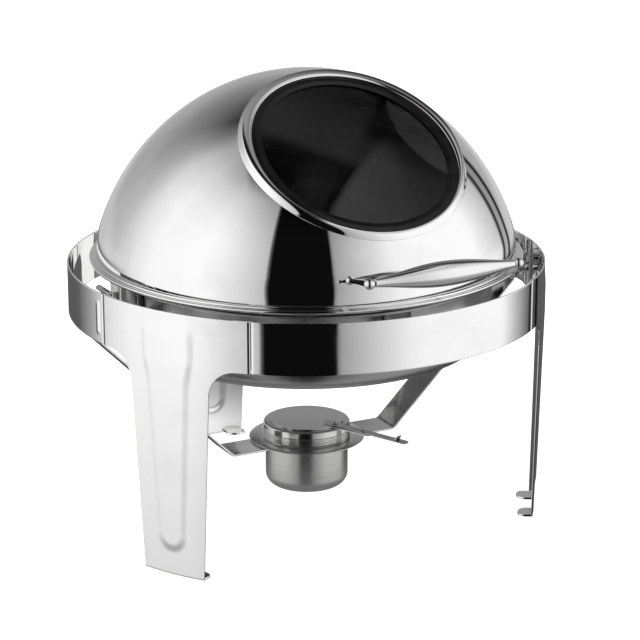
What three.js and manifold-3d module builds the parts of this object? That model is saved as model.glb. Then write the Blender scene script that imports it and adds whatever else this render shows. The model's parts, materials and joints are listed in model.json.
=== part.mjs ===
// Round roll top chafer: a mirror-polished dome lid that rolls back about a side-to-side axis, over a water pan
// and a food pan hung inside a three-legged hoop frame, with a gel-fuel burner in a bracket underneath.
//
// Millimetres, +Z up. The user stands on the -Y side: the lid's handle and window face -Y, the lid's pivots are
// beside its rim on a line along X, and one leg is at the back. Everything is laid out about the hoop's axis, and
// the whole group is shifted at the end to put the origin on the table under the middle of its overall box.

import * as THREE from "three";
import { mergeVertices } from "three/addons/utils/BufferGeometryUtils.js";
import Module from "manifold-3d";

const wasm = await Module();
wasm.setup();

// ---------------------------------------------------------------- driving dimensions

const clearance = 0.3; // between pieces that touch

// Hoop and legs: one gauge of sheet, rolled to the same radius.
const hoopRadius = 235;
const hoopSheet = 1.5;
const hoopTop = 258.5;
const hoopHeight = 49;
const legAngles = { front_left: -150, front_right: -30, rear: 90 };
const wingHalfAngle = 20.5; // half the angle that a leg's top takes of the hoop
const seamHalfAngle = 0.12; // half the angle of the open seam beside it
const joggleAngle = 0.5; // where the band steps in to pass behind the wing
const lapAngle = 4; // band tongue behind the wing
const bandSteps = 14;
const wingStep = 8; // longest facet of a wing
const legTopHalfWidth = 44;
const legFootHalfWidth = 35;
const legFillet = 27;
const legLean = 5; // how far the foot stands inside the hoop's radius
const footTabWidth = 20;
const footTabLength = 14;
const footTabSheet = 2;

// Lid: an ellipsoid cap on a short upright wall with a rolled rim.
const lidSheet = 1;
const lidHeight = 181; // from the rim flange's top to the crown
const rimAboveHoop = 3.5;
const rimToHoop = 20; // gap that the rim sweeps through
const rimFlange = 7.6; // from the wall to the rim's edge
const lidBead = 2; // radius of the rim's rolled edge
const lidWallHeight = 8;
const lidBlendHeight = 30; // above the rim, where the wall's curve has become the ellipse
const lidEllipseOutset = 7.95; // how much wider the ellipsoid is than the wall
const lidEllipseDrop = 42.2; // from the rim's top down to the ellipsoid's centre

// Window in the lid.
const windowTilt = 56; // its axis rises this many degrees above the front horizon
const windowDrop = 1.9; // how far it sits below the middle of the flat that its plane would cut
const glassVisibleRadius = 90.3;
const glassThickness = 3.5;
const glassRebate = 5.7; // how far the glass runs into the gasket
const gasketBorder = 10.2; // black border that shows round the glass
const gasketLip = 0.9;
const bezelWall = 1.2;
const bezelBorder = 11.8;
const bezelRise = 2; // bead height above the glass's outer face
const bezelOverhang = 10.1; // how far the bezel reaches past the flat at the glass's outer face
const holeBorder = 5.5; // from the gasket to the hole in the dome
const retainerSheet = 1.2;

// Lid pivots.
const pivotBelowHoop = 17.5; // from the hoop's top down to the axis
const pivotPinRadius = 3;
const pivotHeadThickness = 2.5;
const pivotHeadRadius = 6;
const spacerLength = 7.5;
const earSheet = 1.5;
const earHalfWidth = 12;
const earRise = 7.5; // how far the ear runs up the lid's wall, from the rim
const bracketSheet = 1.5;
const bracketFront = -16;
const bracketBack = 13;
const bracketBelowHoop = 5.5; // from the hoop's top to the bracket's curled edge

// Pans.
const panToPivot = 7.7; // gap between the food pan's rim and the pivots' heads
const panSheet = 1;
const waterPanDepth = 77;
const rimBelowHoop = 8.5; // underside of the water pan's rim
const waterPanRimWidth = 7.8;
const panCorner = 25;
const panGap = 4.7; // between the two pans' walls
const waterDepth = 20; // between the two pans' floors

// Brackets that hang the water pan by its rim.
const hangerSheet = 1.5;
const hangerWidth = 28;
const hangerBelowRim = 34;
const hangerToPan = 4.1; // from the pan's wall to the middle of the hanger's tip

// Burner and its arms.
const armSheet = 2;
const armHalfWidth = 18;
const armTop = 69.6;
const armTabHeight = 18.5; // how far the arm's tab runs up the hoop
const cupRadius = 41.5;
const cupDepth = 48.6; // below the top of the arms
const cupSheet = 1;
const cupCorner = 12;
const cupRingBorder = 16.5;
const cupRingSheet = 1.2;
const cupLip = 2.3;
const cupNeckHeight = 8;
const coverOverCup = 2.1; // how much wider the cover is than the cup
const coverSheet = 1.1;
const coverHeight = 15;
const flamePortRadius = 20;
const damperInset = 6.1; // from the cover's side to the damper's edge
const damperSheet = 1.2;
const damperPinRadius = 1.8;
const damperPinInset = 1.5; // from the damper's edge to its pin
const leverAngle = -66; // direction of the lever from the burner's axis
const leverWidth = 9;
const leverLength = 89.5; // from the damper's edge to the lever's tip
const thumbTabHeight = 6;
const thumbTabInset = 16; // from the lever's tip
const leverJointDistance = 34.5; // from the damper's edge to the rivet between its tongue and the lever

// Handle.
const gripHalfLength = 71;
const gripRadius = 11.5;
const gripEndRadius = 3.6;
const knuckleRadius = 5;
const postRadius = 3.6;
const postFootHeight = 27; // above the rim
const handleStandoff = 69.6; // from the dome to the grip's axis
const handleRise = 19; // from the posts' feet up to the grip's axis
const postSplay = 21.3; // how much wider apart the knuckles are than the posts' feet, on each side

// Fasteners.
const studRadius = 2.5;
const nutThickness = 4.5;
const nutRadius = 5.2;

// Facets of a full turn.
const roundDome = 56;
const roundPan = 44;
const roundBurner = 32;
const roundSmall = 14;

// ---------------------------------------------------------------- values that follow from them

const radians = THREE.MathUtils.degToRad;

// Least distance from the axis of a round wall's flat facets, and the X at which a flat piece meets that wall.
const facetRadius = (radius, segments) => radius * Math.cos(Math.PI / segments);
const againstWall = (radius, halfWidth) => Math.sqrt((radius - clearance) ** 2 - halfWidth ** 2);

const hoopBottom = hoopTop - hoopHeight;
const hoopInside = hoopRadius - hoopSheet;
const bandHalfAngle = 60 - wingHalfAngle - seamHalfAngle;
const hoopFacet = hoopInside * Math.cos(radians((bandHalfAngle - joggleAngle) / bandSteps));

const lidRim = hoopTop + rimAboveHoop;
const lidTop = lidRim + lidHeight;
const lidRimRadius = hoopInside - rimToHoop;
const lidWallRadius = lidRimRadius - rimFlange;
const lidWallTop = lidRim + lidWallHeight;
const lidBlendTop = lidRim + lidBlendHeight;
const lidEllipseRadius = lidWallRadius + lidEllipseOutset;
const lidEllipseZ = lidRim - lidEllipseDrop;
const lidEllipseHalfHeight = lidTop - lidEllipseZ;

const gasketRadius = glassVisibleRadius + gasketBorder;
const bezelRadius = gasketRadius + bezelBorder;
const lidHoleRadius = gasketRadius + holeBorder;

const pivotHeight = hoopTop - pivotBelowHoop;
const earOuterX = againstWall(facetRadius(lidWallRadius - lidSheet, roundDome), earHalfWidth);
const earInnerX = earOuterX - earSheet;
const headX = earInnerX - clearance;
const bracketInnerX = earOuterX + spacerLength + 2 * clearance;
const bracketTop = hoopTop - bracketBelowHoop;

const foodPanRimRadius = headX - pivotHeadThickness - panToPivot;
const waterPanRimRadius = foodPanRimRadius - panSheet;
const waterPanRadius = waterPanRimRadius - waterPanRimWidth;
const waterPanRim = hoopTop - rimBelowHoop;
const waterPanBottom = waterPanRim - waterPanDepth;
const foodPanRadius = waterPanRadius - panSheet - panGap;
const foodPanRim = waterPanRim + panSheet + clearance;
const foodPanBottom = waterPanBottom + waterDepth;

const armWallX = againstWall(hoopFacet, armHalfWidth) - armSheet / 2;
const armEndTop = hoopBottom + armTabHeight;
const armZ = armTop - armSheet / 2;
const armBendX = armWallX - (hoopBottom - armZ); // the slope is at 45 degrees and reaches the hoop's lower edge
const hangerTipX = waterPanRadius + hangerToPan;
const hangerArmHeight = waterPanRim - hangerBelowRim;
const studHeight = (hangerArmHeight + armEndTop) / 2 + 1;

const cupBottom = armTop - cupDepth;
const cupRingRadius = cupRadius + cupRingBorder;
const cupLipRadius = cupRadius + cupLip;
const coverRadius = cupRadius + coverOverCup;
const damperRadius = coverRadius - damperInset;
const damperPinDistance = damperRadius - damperPinInset;
const cupRingBottom = armTop + clearance;
const cupRingTop = cupRingBottom + cupRingSheet;
const cupLipBottom = cupRingTop + clearance;
const cupLipTop = cupLipBottom + cupSheet;
const coverBottom = cupLipTop + clearance;
const coverTop = coverBottom + coverHeight;
const damperBottom = coverTop + clearance;
const leverBottom = damperBottom + damperSheet + clearance;
const leverTop = leverBottom + damperSheet;

const polished = new THREE.MeshStandardMaterial({ color: 0xd8d9da, roughness: 0.08, metalness: 1 });
const brushed = new THREE.MeshStandardMaterial({ color: 0xa9aaab, roughness: 0.38, metalness: 1 });
const zinc = new THREE.MeshStandardMaterial({ color: 0x9fa1a3, roughness: 0.3, metalness: 1 });
const black = new THREE.MeshStandardMaterial({ color: 0x17181a, roughness: 0.35, metalness: 0 });
const nylon = new THREE.MeshStandardMaterial({ color: 0xd9d6cc, roughness: 0.5, metalness: 0 });
const smoked = new THREE.MeshStandardMaterial({ color: 0x2c2e30, roughness: 0.03, metalness: 0 });

const chafer = new THREE.Group();

// ---------------------------------------------------------------- shape helpers

function place(parent, name, geometry, material) {
  const mesh = new THREE.Mesh(geometry, material);
  mesh.name = name;
  parent.add(mesh);
  return mesh;
}

// A solid turned about Z. The profile is a closed loop of [radius, height] pairs, anticlockwise.
function turned(profile, segments) {
  const points = profile.map(([r, z]) => new THREE.Vector2(r, z));
  const onAxis = profile[0][0] === 0 && profile.at(-1)[0] === 0;
  if (!onAxis) points.push(points[0].clone());
  return new THREE.LatheGeometry(points, segments).rotateX(Math.PI / 2);
}

// A cylinder or tube from one point to another.
function rod(from, to, radius, segments = roundSmall) {
  const a = new THREE.Vector3(...from);
  const b = new THREE.Vector3(...to);
  const along = b.clone().sub(a);
  const turn = new THREE.Quaternion().setFromUnitVectors(new THREE.Vector3(0, 1, 0), along.clone().normalize());
  return new THREE.CylinderGeometry(radius, radius, along.length(), segments)
    .applyQuaternion(turn)
    .translate(...a.add(b).multiplyScalar(0.5).toArray());
}

// A flat outline in X and Y, lifted to a plate between two heights.
function plate(points, bottom, thickness) {
  const shape = new THREE.Shape(points.map(([x, y]) => new THREE.Vector2(x, y)));
  return new THREE.ExtrudeGeometry(shape, { depth: thickness, bevelEnabled: false }).translate(0, 0, bottom);
}

// A strip of sheet bent along a path of [x, z] points, between two values of y.
function bentStrip(path, sheet, front, back) {
  const middle = path.map(([x, z]) => new THREE.Vector2(x, z));
  const side = (sign) =>
    middle.map((p, i) => {
      const before = middle[Math.max(i - 1, 0)];
      const after = middle[Math.min(i + 1, middle.length - 1)];
      const into = p.clone().sub(before).normalize();
      const out = after.clone().sub(p).normalize();
      const a = i === 0 ? out : into;
      const b = i === middle.length - 1 ? into : out;
      const across = new THREE.Vector2(-a.y - b.y, a.x + b.x).normalize();
      const reach = sheet / 2 / across.dot(new THREE.Vector2(-a.y, a.x));
      return p.clone().addScaledVector(across, sign * reach);
    });
  const outline = [...side(1), ...side(-1).reverse()];
  return new THREE.ExtrudeGeometry(new THREE.Shape(outline), { depth: back - front, bevelEnabled: false })
    .rotateX(Math.PI / 2)
    .translate(0, back, 0);
}

// A rolled sheet: columns of [arc length, top, bottom] with the outer surface at radiusAt(arc, z).
function rolledSheet(columns, middleAt, radiusAt, sheet) {
  const grid = (inset) =>
    columns.map(([arc, top, bottom]) =>
      [top, middleAt(top, bottom), bottom].map((z) => {
        const angle = arc / hoopRadius;
        const r = radiusAt(arc, z) - inset;
        return [r * Math.cos(angle), r * Math.sin(angle), z];
      }),
    );
  const faces = [];
  const quad = (a, b, c, d) => faces.push(...a, ...b, ...c, ...a, ...c, ...d);
  const outer = grid(0);
  const inner = grid(sheet);
  const last = columns.length - 1;
  for (let i = 0; i < last; i++) {
    for (let j = 0; j < 2; j++) {
      quad(outer[i][j], outer[i][j + 1], outer[i + 1][j + 1], outer[i + 1][j]);
      quad(inner[i][j], inner[i + 1][j], inner[i + 1][j + 1], inner[i][j + 1]);
    }
    quad(outer[i][0], outer[i + 1][0], inner[i + 1][0], inner[i][0]);
    quad(outer[i][2], inner[i][2], inner[i + 1][2], outer[i + 1][2]);
  }
  for (let j = 0; j < 2; j++) {
    quad(outer[0][j], inner[0][j], inner[0][j + 1], outer[0][j + 1]);
    quad(outer[last][j], outer[last][j + 1], inner[last][j + 1], inner[last][j]);
  }
  return new THREE.BufferGeometry().setAttribute("position", new THREE.Float32BufferAttribute(faces, 3));
}

// An arc of [x, y] points about a centre, from one angle to another in degrees.
function arc(cx, cy, radius, from, to, steps) {
  return Array.from({ length: steps + 1 }, (_, i) => {
    const a = radians(from + ((to - from) * i) / steps);
    return [cx + radius * Math.cos(a), cy + radius * Math.sin(a)];
  });
}

// The outline of a bar with round ends, from one [x, y] point to another.
function roundedBar([x0, y0], [x1, y1], width, steps = 6) {
  const heading = THREE.MathUtils.radToDeg(Math.atan2(y1 - y0, x1 - x0));
  return [
    ...arc(x1, y1, width / 2, heading - 90, heading + 90, steps),
    ...arc(x0, y0, width / 2, heading + 90, heading + 270, steps),
  ];
}

function solid(geometry) {
  const bare = geometry.clone();
  bare.deleteAttribute("normal");
  bare.deleteAttribute("uv");
  const merged = mergeVertices(bare, 1e-4);
  return new wasm.Manifold(
    new wasm.Mesh({
      numProp: 3,
      vertProperties: new Float32Array(merged.attributes.position.array),
      triVerts: new Uint32Array(merged.index.array),
    }),
  );
}

function geometryOf(made) {
  const mesh = made.getMesh();
  return new THREE.BufferGeometry()
    .setAttribute("position", new THREE.BufferAttribute(mesh.vertProperties, 3))
    .setIndex(new THREE.BufferAttribute(mesh.triVerts, 1));
}

const joined = (first, ...rest) => geometryOf(rest.reduce((all, g) => all.add(solid(g)), solid(first)));
const cut = (first, ...tools) => geometryOf(tools.reduce((all, g) => all.subtract(solid(g)), solid(first)));

// ---------------------------------------------------------------- hoop: three band segments and three legs

// A leg's lower edge at an arc distance from its middle: foot, tapering side, fillet, then the hoop's lower edge.
function legLowerEdge(distance) {
  const filletFoot = hoopBottom - legFillet;
  const filletEnd = legTopHalfWidth + legFillet;
  if (distance <= legFootHalfWidth) return 0;
  if (distance < legTopHalfWidth) {
    return (filletFoot * (distance - legFootHalfWidth)) / (legTopHalfWidth - legFootHalfWidth);
  }
  if (distance < filletEnd) return filletFoot + Math.sqrt(legFillet ** 2 - (filletEnd - distance) ** 2);
  return hoopBottom;
}

const leaningRadius = (z) => hoopRadius - legLean * Math.max(0, (hoopBottom - z) / hoopBottom);

function legGeometry() {
  const wing = radians(wingHalfAngle - seamHalfAngle) * hoopRadius;
  const half = [0, 9, 18, 27, legFootHalfWidth, legTopHalfWidth];
  for (const turn of [15, 32, 50, 68, 90]) {
    half.push(legTopHalfWidth + legFillet * (1 - Math.cos(radians(turn))));
  }
  const filletEnd = legTopHalfWidth + legFillet;
  const wingSteps = Math.ceil((wing - filletEnd) / wingStep);
  for (let i = 1; i <= wingSteps; i++) half.push(filletEnd + ((wing - filletEnd) * i) / wingSteps);
  const arcs = [...half.slice(1).reverse().map((d) => -d), ...half];
  const columns = arcs.map((s) => [s, hoopTop, legLowerEdge(Math.abs(s))]);
  const middleAt = (top, bottom) => (bottom < hoopBottom - 1 ? hoopBottom : (top + bottom) / 2);
  const sheetMetal = rolledSheet(columns, middleAt, (_, z) => leaningRadius(z), hoopSheet);
  const footOuter = leaningRadius(0) - hoopSheet / 2;
  const tabs = [-1, 1].map((sign) => {
    const across = sign * (legFootHalfWidth - footTabWidth / 2 - 1);
    const outer = Math.sqrt(footOuter ** 2 - (Math.abs(across) + footTabWidth / 2) ** 2);
    const inner = footOuter - footTabLength - hoopSheet;
    const corner = 6;
    const low = across - footTabWidth / 2;
    const high = across + footTabWidth / 2;
    const outline = [
      [outer, low],
      [outer, high],
      ...arc(inner + corner, high - corner, corner, 90, 180, 4),
      ...arc(inner + corner, low + corner, corner, 180, 270, 4),
    ];
    return plate(outline, 0, footTabSheet);
  });
  return joined(sheetMetal, ...tabs);
}

function bandGeometry() {
  const joggle = hoopSheet + clearance;
  const flat = bandHalfAngle - joggleAngle;
  const angles = Array.from({ length: bandSteps + 1 }, (_, i) => -flat + (2 * flat * i) / bandSteps);
  const all = [-bandHalfAngle - lapAngle, -bandHalfAngle, ...angles, bandHalfAngle, bandHalfAngle + lapAngle];
  const columns = all.map((a) => [radians(a) * hoopRadius, hoopTop, hoopBottom]);
  const edge = radians(bandHalfAngle - joggleAngle / 2) * hoopRadius;
  const radiusAt = (s) => hoopRadius - (Math.abs(s) > edge ? joggle : 0);
  return rolledSheet(columns, (top, bottom) => (top + bottom) / 2, radiusAt, hoopSheet);
}

const leg = legGeometry();
for (const [name, angle] of Object.entries(legAngles)) {
  place(chafer, name + "_leg", leg, polished).rotation.z = radians(angle);
}

const band = bandGeometry();
for (const [name, angle] of [["front_band", -90], ["right_band", 30], ["left_band", 150]]) {
  place(chafer, name, band, polished).rotation.z = radians(angle);
}

// ---------------------------------------------------------------- pivot brackets, pivots, pan hangers, burner arms

// A hexagon nut or a round washer on a rod along X, from x0 to x1.
function nut(x0, x1, height, holeRadius, radius = nutRadius, sides = 6) {
  return cut(
    rod([x0, 0, height], [x1, 0, height], radius, sides),
    rod([x0 - 1, 0, height], [x1 + 1, 0, height], holeRadius),
  );
}

// A strip that reaches in from the hoop, turns up beside the pan and carries the pan's rim on its tip.
function hangerGeometry(flangeX, front) {
  const path = [
    [flangeX, armEndTop + 2],
    [flangeX, hangerArmHeight],
    [hangerTipX, hangerArmHeight],
    [hangerTipX, waterPanRim - clearance],
  ];
  const strip = bentStrip(path, hangerSheet, front, front + hangerWidth);
  const hole = rod([flangeX - 3, 0, studHeight], [flangeX + 3, 0, studHeight], studRadius + clearance);
  return cut(strip, hole);
}

const armHangerX = armWallX - armSheet / 2 - clearance - hangerSheet / 2;

for (const [side, turn] of [["right", 0], ["left", Math.PI]]) {
  const station = new THREE.Group();
  station.rotation.z = turn;
  chafer.add(station);
  const mirror = turn ? -1 : 1; // the left station is turned half round, so its front is its own +Y
  const front = mirror > 0 ? bracketFront : -bracketBack;
  const back = mirror > 0 ? bracketBack : -bracketFront;

  // Trough-shaped pivot bracket with a curled upper edge, welded inside the hoop.
  const wallX = againstWall(hoopFacet, -bracketFront) - bracketSheet / 2;
  const webHeight = armEndTop + clearance + bracketSheet / 2 + 3;
  const plateX = bracketInnerX + bracketSheet / 2;
  const channel = bentStrip(
    [
      [wallX, bracketTop - 3],
      [wallX, webHeight],
      [plateX, webHeight],
      [plateX, bracketTop - 2.5],
      [plateX + 1, bracketTop - 1],
      [plateX + 2.8, bracketTop - 0.8],
      [plateX + 3.9, bracketTop - 2.4],
    ],
    bracketSheet,
    front,
    back,
  );
  const pinHole = rod([headX, 0, pivotHeight], [wallX, 0, pivotHeight], pivotPinRadius + clearance);
  place(station, "pivot_bracket_" + side, cut(channel, pinHole), brushed);

  // Pivot screw with its head inside the lid, spacer between lid and bracket, nut in the trough.
  const nutX = bracketInnerX + bracketSheet + clearance;
  const screw = joined(
    rod([headX - pivotHeadThickness, 0, pivotHeight], [headX, 0, pivotHeight], pivotHeadRadius, 20),
    rod([headX - 1, 0, pivotHeight], [nutX + nutThickness + 1.5, 0, pivotHeight], pivotPinRadius),
  );
  place(station, "pivot_screw_" + side, screw, zinc);
  const spacerX = earOuterX + clearance;
  const spacer = nut(spacerX, spacerX + spacerLength, pivotHeight, pivotPinRadius + clearance, pivotHeadRadius, 20);
  place(station, "pivot_spacer_" + side, spacer, nylon);
  place(station, "pivot_nut_" + side, nut(nutX, nutX + nutThickness, pivotHeight, pivotPinRadius + clearance), zinc);

  // Burner arm: upright tab on the hoop, slope, and a level end under the cup ring.
  const armPath = [
    [armWallX, armEndTop],
    [armWallX, hoopBottom],
    [armBendX, armZ],
    [cupRadius + 4, armZ],
  ];
  const arm = bentStrip(armPath, armSheet, -armHalfWidth, armHalfWidth);
  const studHole = rod([armWallX - 3, 0, studHeight], [armWallX + 3, 0, studHeight], studRadius + clearance);
  const cupHole = rod([0, 0, armZ - 3], [0, 0, armZ + 3], cupRadius + 1.5, roundBurner);
  place(chafer, "burner_arm_" + side, cut(arm, studHole, cupHole), polished).rotation.z = turn;

  // Pan hanger over the arm's tab, and the stud and nut that hold both.
  const hanger = hangerGeometry(armHangerX, mirror > 0 ? bracketBack - hangerWidth : -bracketBack);
  place(station, "pan_hanger_" + side, hanger, brushed);
  const studEnd = armHangerX - hangerSheet / 2 - clearance - nutThickness - 1.5;
  const stud = rod([studEnd, 0, studHeight], [hoopInside - 2 * clearance, 0, studHeight], studRadius);
  place(station, "hanger_stud_" + side, stud, zinc);
  const hangerNutX = armHangerX - hangerSheet / 2 - clearance;
  const hangerNut = nut(hangerNutX - nutThickness, hangerNutX, studHeight, studRadius + clearance);
  place(station, "hanger_nut_" + side, hangerNut, zinc);
}

// The third hanger is on the front band.
const frontStation = new THREE.Group();
frontStation.rotation.z = -Math.PI / 2;
chafer.add(frontStation);
const frontFlangeX = againstWall(hoopFacet, hangerWidth / 2) - hangerSheet / 2;
const frontHanger = hangerGeometry(frontFlangeX, -hangerWidth / 2);
place(frontStation, "pan_hanger_front", frontHanger, brushed);
const frontNutX = frontFlangeX - hangerSheet / 2 - clearance;
const frontStud = rod(
  [frontNutX - nutThickness - 1.5, 0, studHeight],
  [hoopInside - 2 * clearance, 0, studHeight],
  studRadius,
);
place(frontStation, "hanger_stud_front", frontStud, zinc);
const frontNut = nut(frontNutX - nutThickness, frontNutX, studHeight, studRadius + clearance);
place(frontStation, "hanger_nut_front", frontNut, zinc);

// ---------------------------------------------------------------- pans

// A round pan of one gauge: floor, rounded corner, upright wall and an outward rim with a turned-down edge.
function panGeometry({ radius, bottom, rimUnder, rimRadius, corner, lip }) {
  const inner = corner - panSheet;
  return turned(
    [
      [0, bottom],
      ...arc(radius - corner, bottom + corner, corner, -90, 0, 5),
      [radius, rimUnder],
      [rimRadius - panSheet, rimUnder],
      [rimRadius - panSheet, rimUnder - lip],
      [rimRadius, rimUnder - lip],
      [rimRadius, rimUnder + panSheet],
      [radius - panSheet, rimUnder + panSheet],
      ...arc(radius - corner, bottom + corner, inner, 0, -90, 5),
      [0, bottom + panSheet],
    ],
    roundPan,
  );
}

const waterPan = panGeometry({
  radius: waterPanRadius,
  bottom: waterPanBottom,
  rimUnder: waterPanRim,
  rimRadius: waterPanRimRadius,
  corner: panCorner,
  lip: 0.5,
});
place(chafer, "water_pan", waterPan, polished);

const foodPan = panGeometry({
  radius: foodPanRadius,
  bottom: foodPanBottom,
  rimUnder: foodPanRim,
  rimRadius: foodPanRimRadius,
  corner: panCorner - 5,
  lip: 0,
});
place(chafer, "food_pan", foodPan, polished);

// ---------------------------------------------------------------- lid

// Radius of the lid's outside at a height: upright wall, a short curve, then the ellipsoid. Inset makes the inside.
function lidRadius(z, inset) {
  if (z >= lidBlendTop) {
    const share = (z - lidEllipseZ) / (lidEllipseHalfHeight - inset);
    return (lidEllipseRadius - inset) * Math.sqrt(Math.max(0, 1 - share * share));
  }
  const wall = lidWallRadius - inset;
  if (z <= lidWallTop) return wall;
  const share = (z - lidWallTop) / (lidBlendTop - lidWallTop);
  return wall + (lidRadius(lidBlendTop, inset) - wall) * share ** 2;
}

// Heights up the lid, closer together near the crown.
function lidHeights(inset) {
  const top = lidTop - inset;
  const reach = Math.acos((lidBlendTop - lidEllipseZ) / (lidEllipseHalfHeight - inset));
  const crown = Array.from({ length: 8 }, (_, i) => reach * (1 - i / 8));
  const curve = crown.map((a) => lidEllipseZ + (top - lidEllipseZ) * Math.cos(a));
  return [lidWallTop, (lidWallTop + lidBlendTop) / 2, ...curve];
}

const lidOutside = lidHeights(0).map((z) => [lidRadius(z, 0), z]);
const lidInside = lidHeights(lidSheet).map((z) => [lidRadius(z, lidSheet), z]);
const beadX = lidRimRadius - lidBead;
const beadZ = lidRim;
const shell = turned(
  [
    [0, lidTop - lidSheet],
    ...lidInside.reverse(),
    [lidWallRadius - lidSheet, lidRim - 0.2],
    [lidWallRadius + 0.6, lidRim - lidSheet],
    ...arc(beadX, beadZ, lidBead, 210, 360, 4),
    ...arc(beadX, beadZ, lidBead, 50, 140, 2),
    [lidWallRadius + 1, lidRim],
    [lidWallRadius, lidRim + 1],
    ...lidOutside,
    [0, lidTop],
  ],
  roundDome,
);

// Window pieces are made with the window's axis up and the glass's outer face at height 0, then leaned forward.
// The ellipsoid is cut by a plane square to that axis, deep enough for the flat to be as wide as the bezel needs;
// the flat's middle is the ellipsoid's pole for that direction, drawn in by the same share as the plane.
const lean = radians(windowTilt);
const poleReach = Math.hypot(lidEllipseRadius * Math.cos(lean), lidEllipseHalfHeight * Math.sin(lean));
const flatShare = Math.sqrt(1 - ((bezelRadius - bezelOverhang) / lidEllipseRadius) ** 2) / poleReach;
const windowCentre = [
  0,
  -flatShare * lidEllipseRadius ** 2 * Math.cos(lean) - windowDrop * Math.sin(lean),
  lidEllipseZ + flatShare * lidEllipseHalfHeight ** 2 * Math.sin(lean) - windowDrop * Math.cos(lean),
];
const windowFrame = new THREE.Matrix4()
  .makeTranslation(...windowCentre)
  .multiply(new THREE.Matrix4().makeRotationX(Math.PI / 2 - lean));
const leaned = (geometry) => geometry.clone().applyMatrix4(windowFrame);
const lidHole = leaned(rod([0, 0, -60], [0, 0, 60], lidHoleRadius, roundDome));
place(chafer, "lid_dome", cut(shell, lidHole), polished);

// The lid's outside as one solid, a little larger, to shape what sits on it.
const raise = 2 * clearance;
const lidSolid = turned(
  [
    [0, lidRim],
    [lidWallRadius + raise, lidRim],
    ...lidHeights(-raise).map((z) => [lidRadius(z, -raise), z]),
    [0, lidTop + raise],
  ],
  roundDome,
);

const bezelInner = gasketRadius + clearance;
const skirtBottom = -(gasketLip * 2 + glassThickness + 3 * clearance);
const bezelBead = turned(
  [
    [bezelInner, -1],
    [bezelInner + bezelWall, -1],
    [bezelRadius - 2, -bezelRise - 3],
    [bezelRadius, -bezelRise - 3],
    [bezelRadius - 0.6, -bezelRise],
    [bezelRadius - 2.8, bezelRise - 1.4],
    [bezelRadius - 5.8, bezelRise],
    [bezelInner + 2.7, bezelRise - 0.1],
    [bezelInner + 0.5, bezelRise - 1.2],
  ],
  roundDome,
);
const bezelSkirt = turned(
  [
    [bezelInner, skirtBottom],
    [bezelInner + bezelWall, skirtBottom],
    [bezelInner + bezelWall, 0.4],
    [bezelInner + 0.4, 0.4],
    [bezelInner, -0.6],
  ],
  roundDome,
);
const bezelCap = solid(leaned(bezelBead)).subtract(solid(lidSolid));
const bezelPlug = leaned(rod([0, 0, -20], [0, 0, 20], lidHoleRadius - clearance, roundDome));
const bezelInHole = solid(leaned(bezelBead)).intersect(solid(bezelPlug));
place(chafer, "window_bezel", geometryOf(bezelCap.add(bezelInHole).add(solid(leaned(bezelSkirt)))), polished);

// Gasket of C section, glass held in its groove, and a retaining ring behind it.
const grooveTop = -gasketLip;
const grooveBottom = grooveTop - glassThickness - 2 * clearance;
const grooveRadius = glassVisibleRadius + glassRebate + clearance;
const gasketBottom = grooveBottom - gasketLip;
const gasket = turned(
  [
    [glassVisibleRadius, gasketBottom],
    [gasketRadius, gasketBottom],
    [gasketRadius, 0],
    [glassVisibleRadius, 0],
    [glassVisibleRadius, grooveTop],
    [grooveRadius, grooveTop],
    [grooveRadius, grooveBottom],
    [glassVisibleRadius, grooveBottom],
  ],
  roundDome,
);
place(chafer, "window_gasket", leaned(gasket), black);
const glassTop = grooveTop - clearance;
const glass = turned(
  [
    [0, glassTop - glassThickness],
    [grooveRadius - clearance, glassTop - glassThickness],
    [grooveRadius - clearance, glassTop],
    [0, glassTop],
  ],
  roundDome,
);
place(chafer, "window_glass", leaned(glass), smoked);
const retainerTop = Math.min(gasketBottom, skirtBottom) - clearance;
const retainer = turned(
  [
    [glassVisibleRadius + 3, retainerTop - retainerSheet],
    [bezelInner + bezelWall, retainerTop - retainerSheet],
    [bezelInner + bezelWall, retainerTop],
    [glassVisibleRadius + 3, retainerTop],
  ],
  roundPan,
);
place(chafer, "window_retainer", leaned(retainer), brushed);

// Ears inside the lid's wall, round at the pivot.
for (const [side, turn] of [["right", 0], ["left", Math.PI]]) {
  const outline = [
    [lidRim + earRise, -earHalfWidth],
    [lidRim + earRise, earHalfWidth],
    ...arc(pivotHeight, 0, earHalfWidth - 1, 90, 270, 10),
  ];
  const ear = plate(outline, 0, earSheet).rotateY(-Math.PI / 2).translate(earOuterX, 0, 0);
  const hole = rod([earInnerX - 2, 0, pivotHeight], [earInnerX + 4, 0, pivotHeight], pivotPinRadius + clearance);
  place(chafer, "lid_ear_" + side, cut(ear, hole), brushed).rotation.z = turn;
}

// ---------------------------------------------------------------- handle

// Spindle-shaped grip on two long posts, each with a round knuckle, bolted through the lid.
const postFootZ = lidRim + postFootHeight;
const postFootRadius = lidRadius(postFootZ, 0);
const handleY = -postFootRadius - handleStandoff;
const handleZ = postFootZ + handleRise;
const knuckleX = gripHalfLength + knuckleRadius;
const gripProfile = Array.from({ length: 13 }, (_, i) => {
  const x = -gripHalfLength + (2 * gripHalfLength * i) / 12;
  const swell = Math.cos((Math.PI / 2) * (x / gripHalfLength)) ** 1.3;
  return [gripEndRadius + (gripRadius - gripEndRadius) * swell, x];
});
const grip = turned([[0, -gripHalfLength], ...gripProfile, [0, gripHalfLength]], 20)
  .rotateY(Math.PI / 2)
  .translate(0, handleY, handleZ);
place(chafer, "handle_grip", grip, polished);

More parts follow.
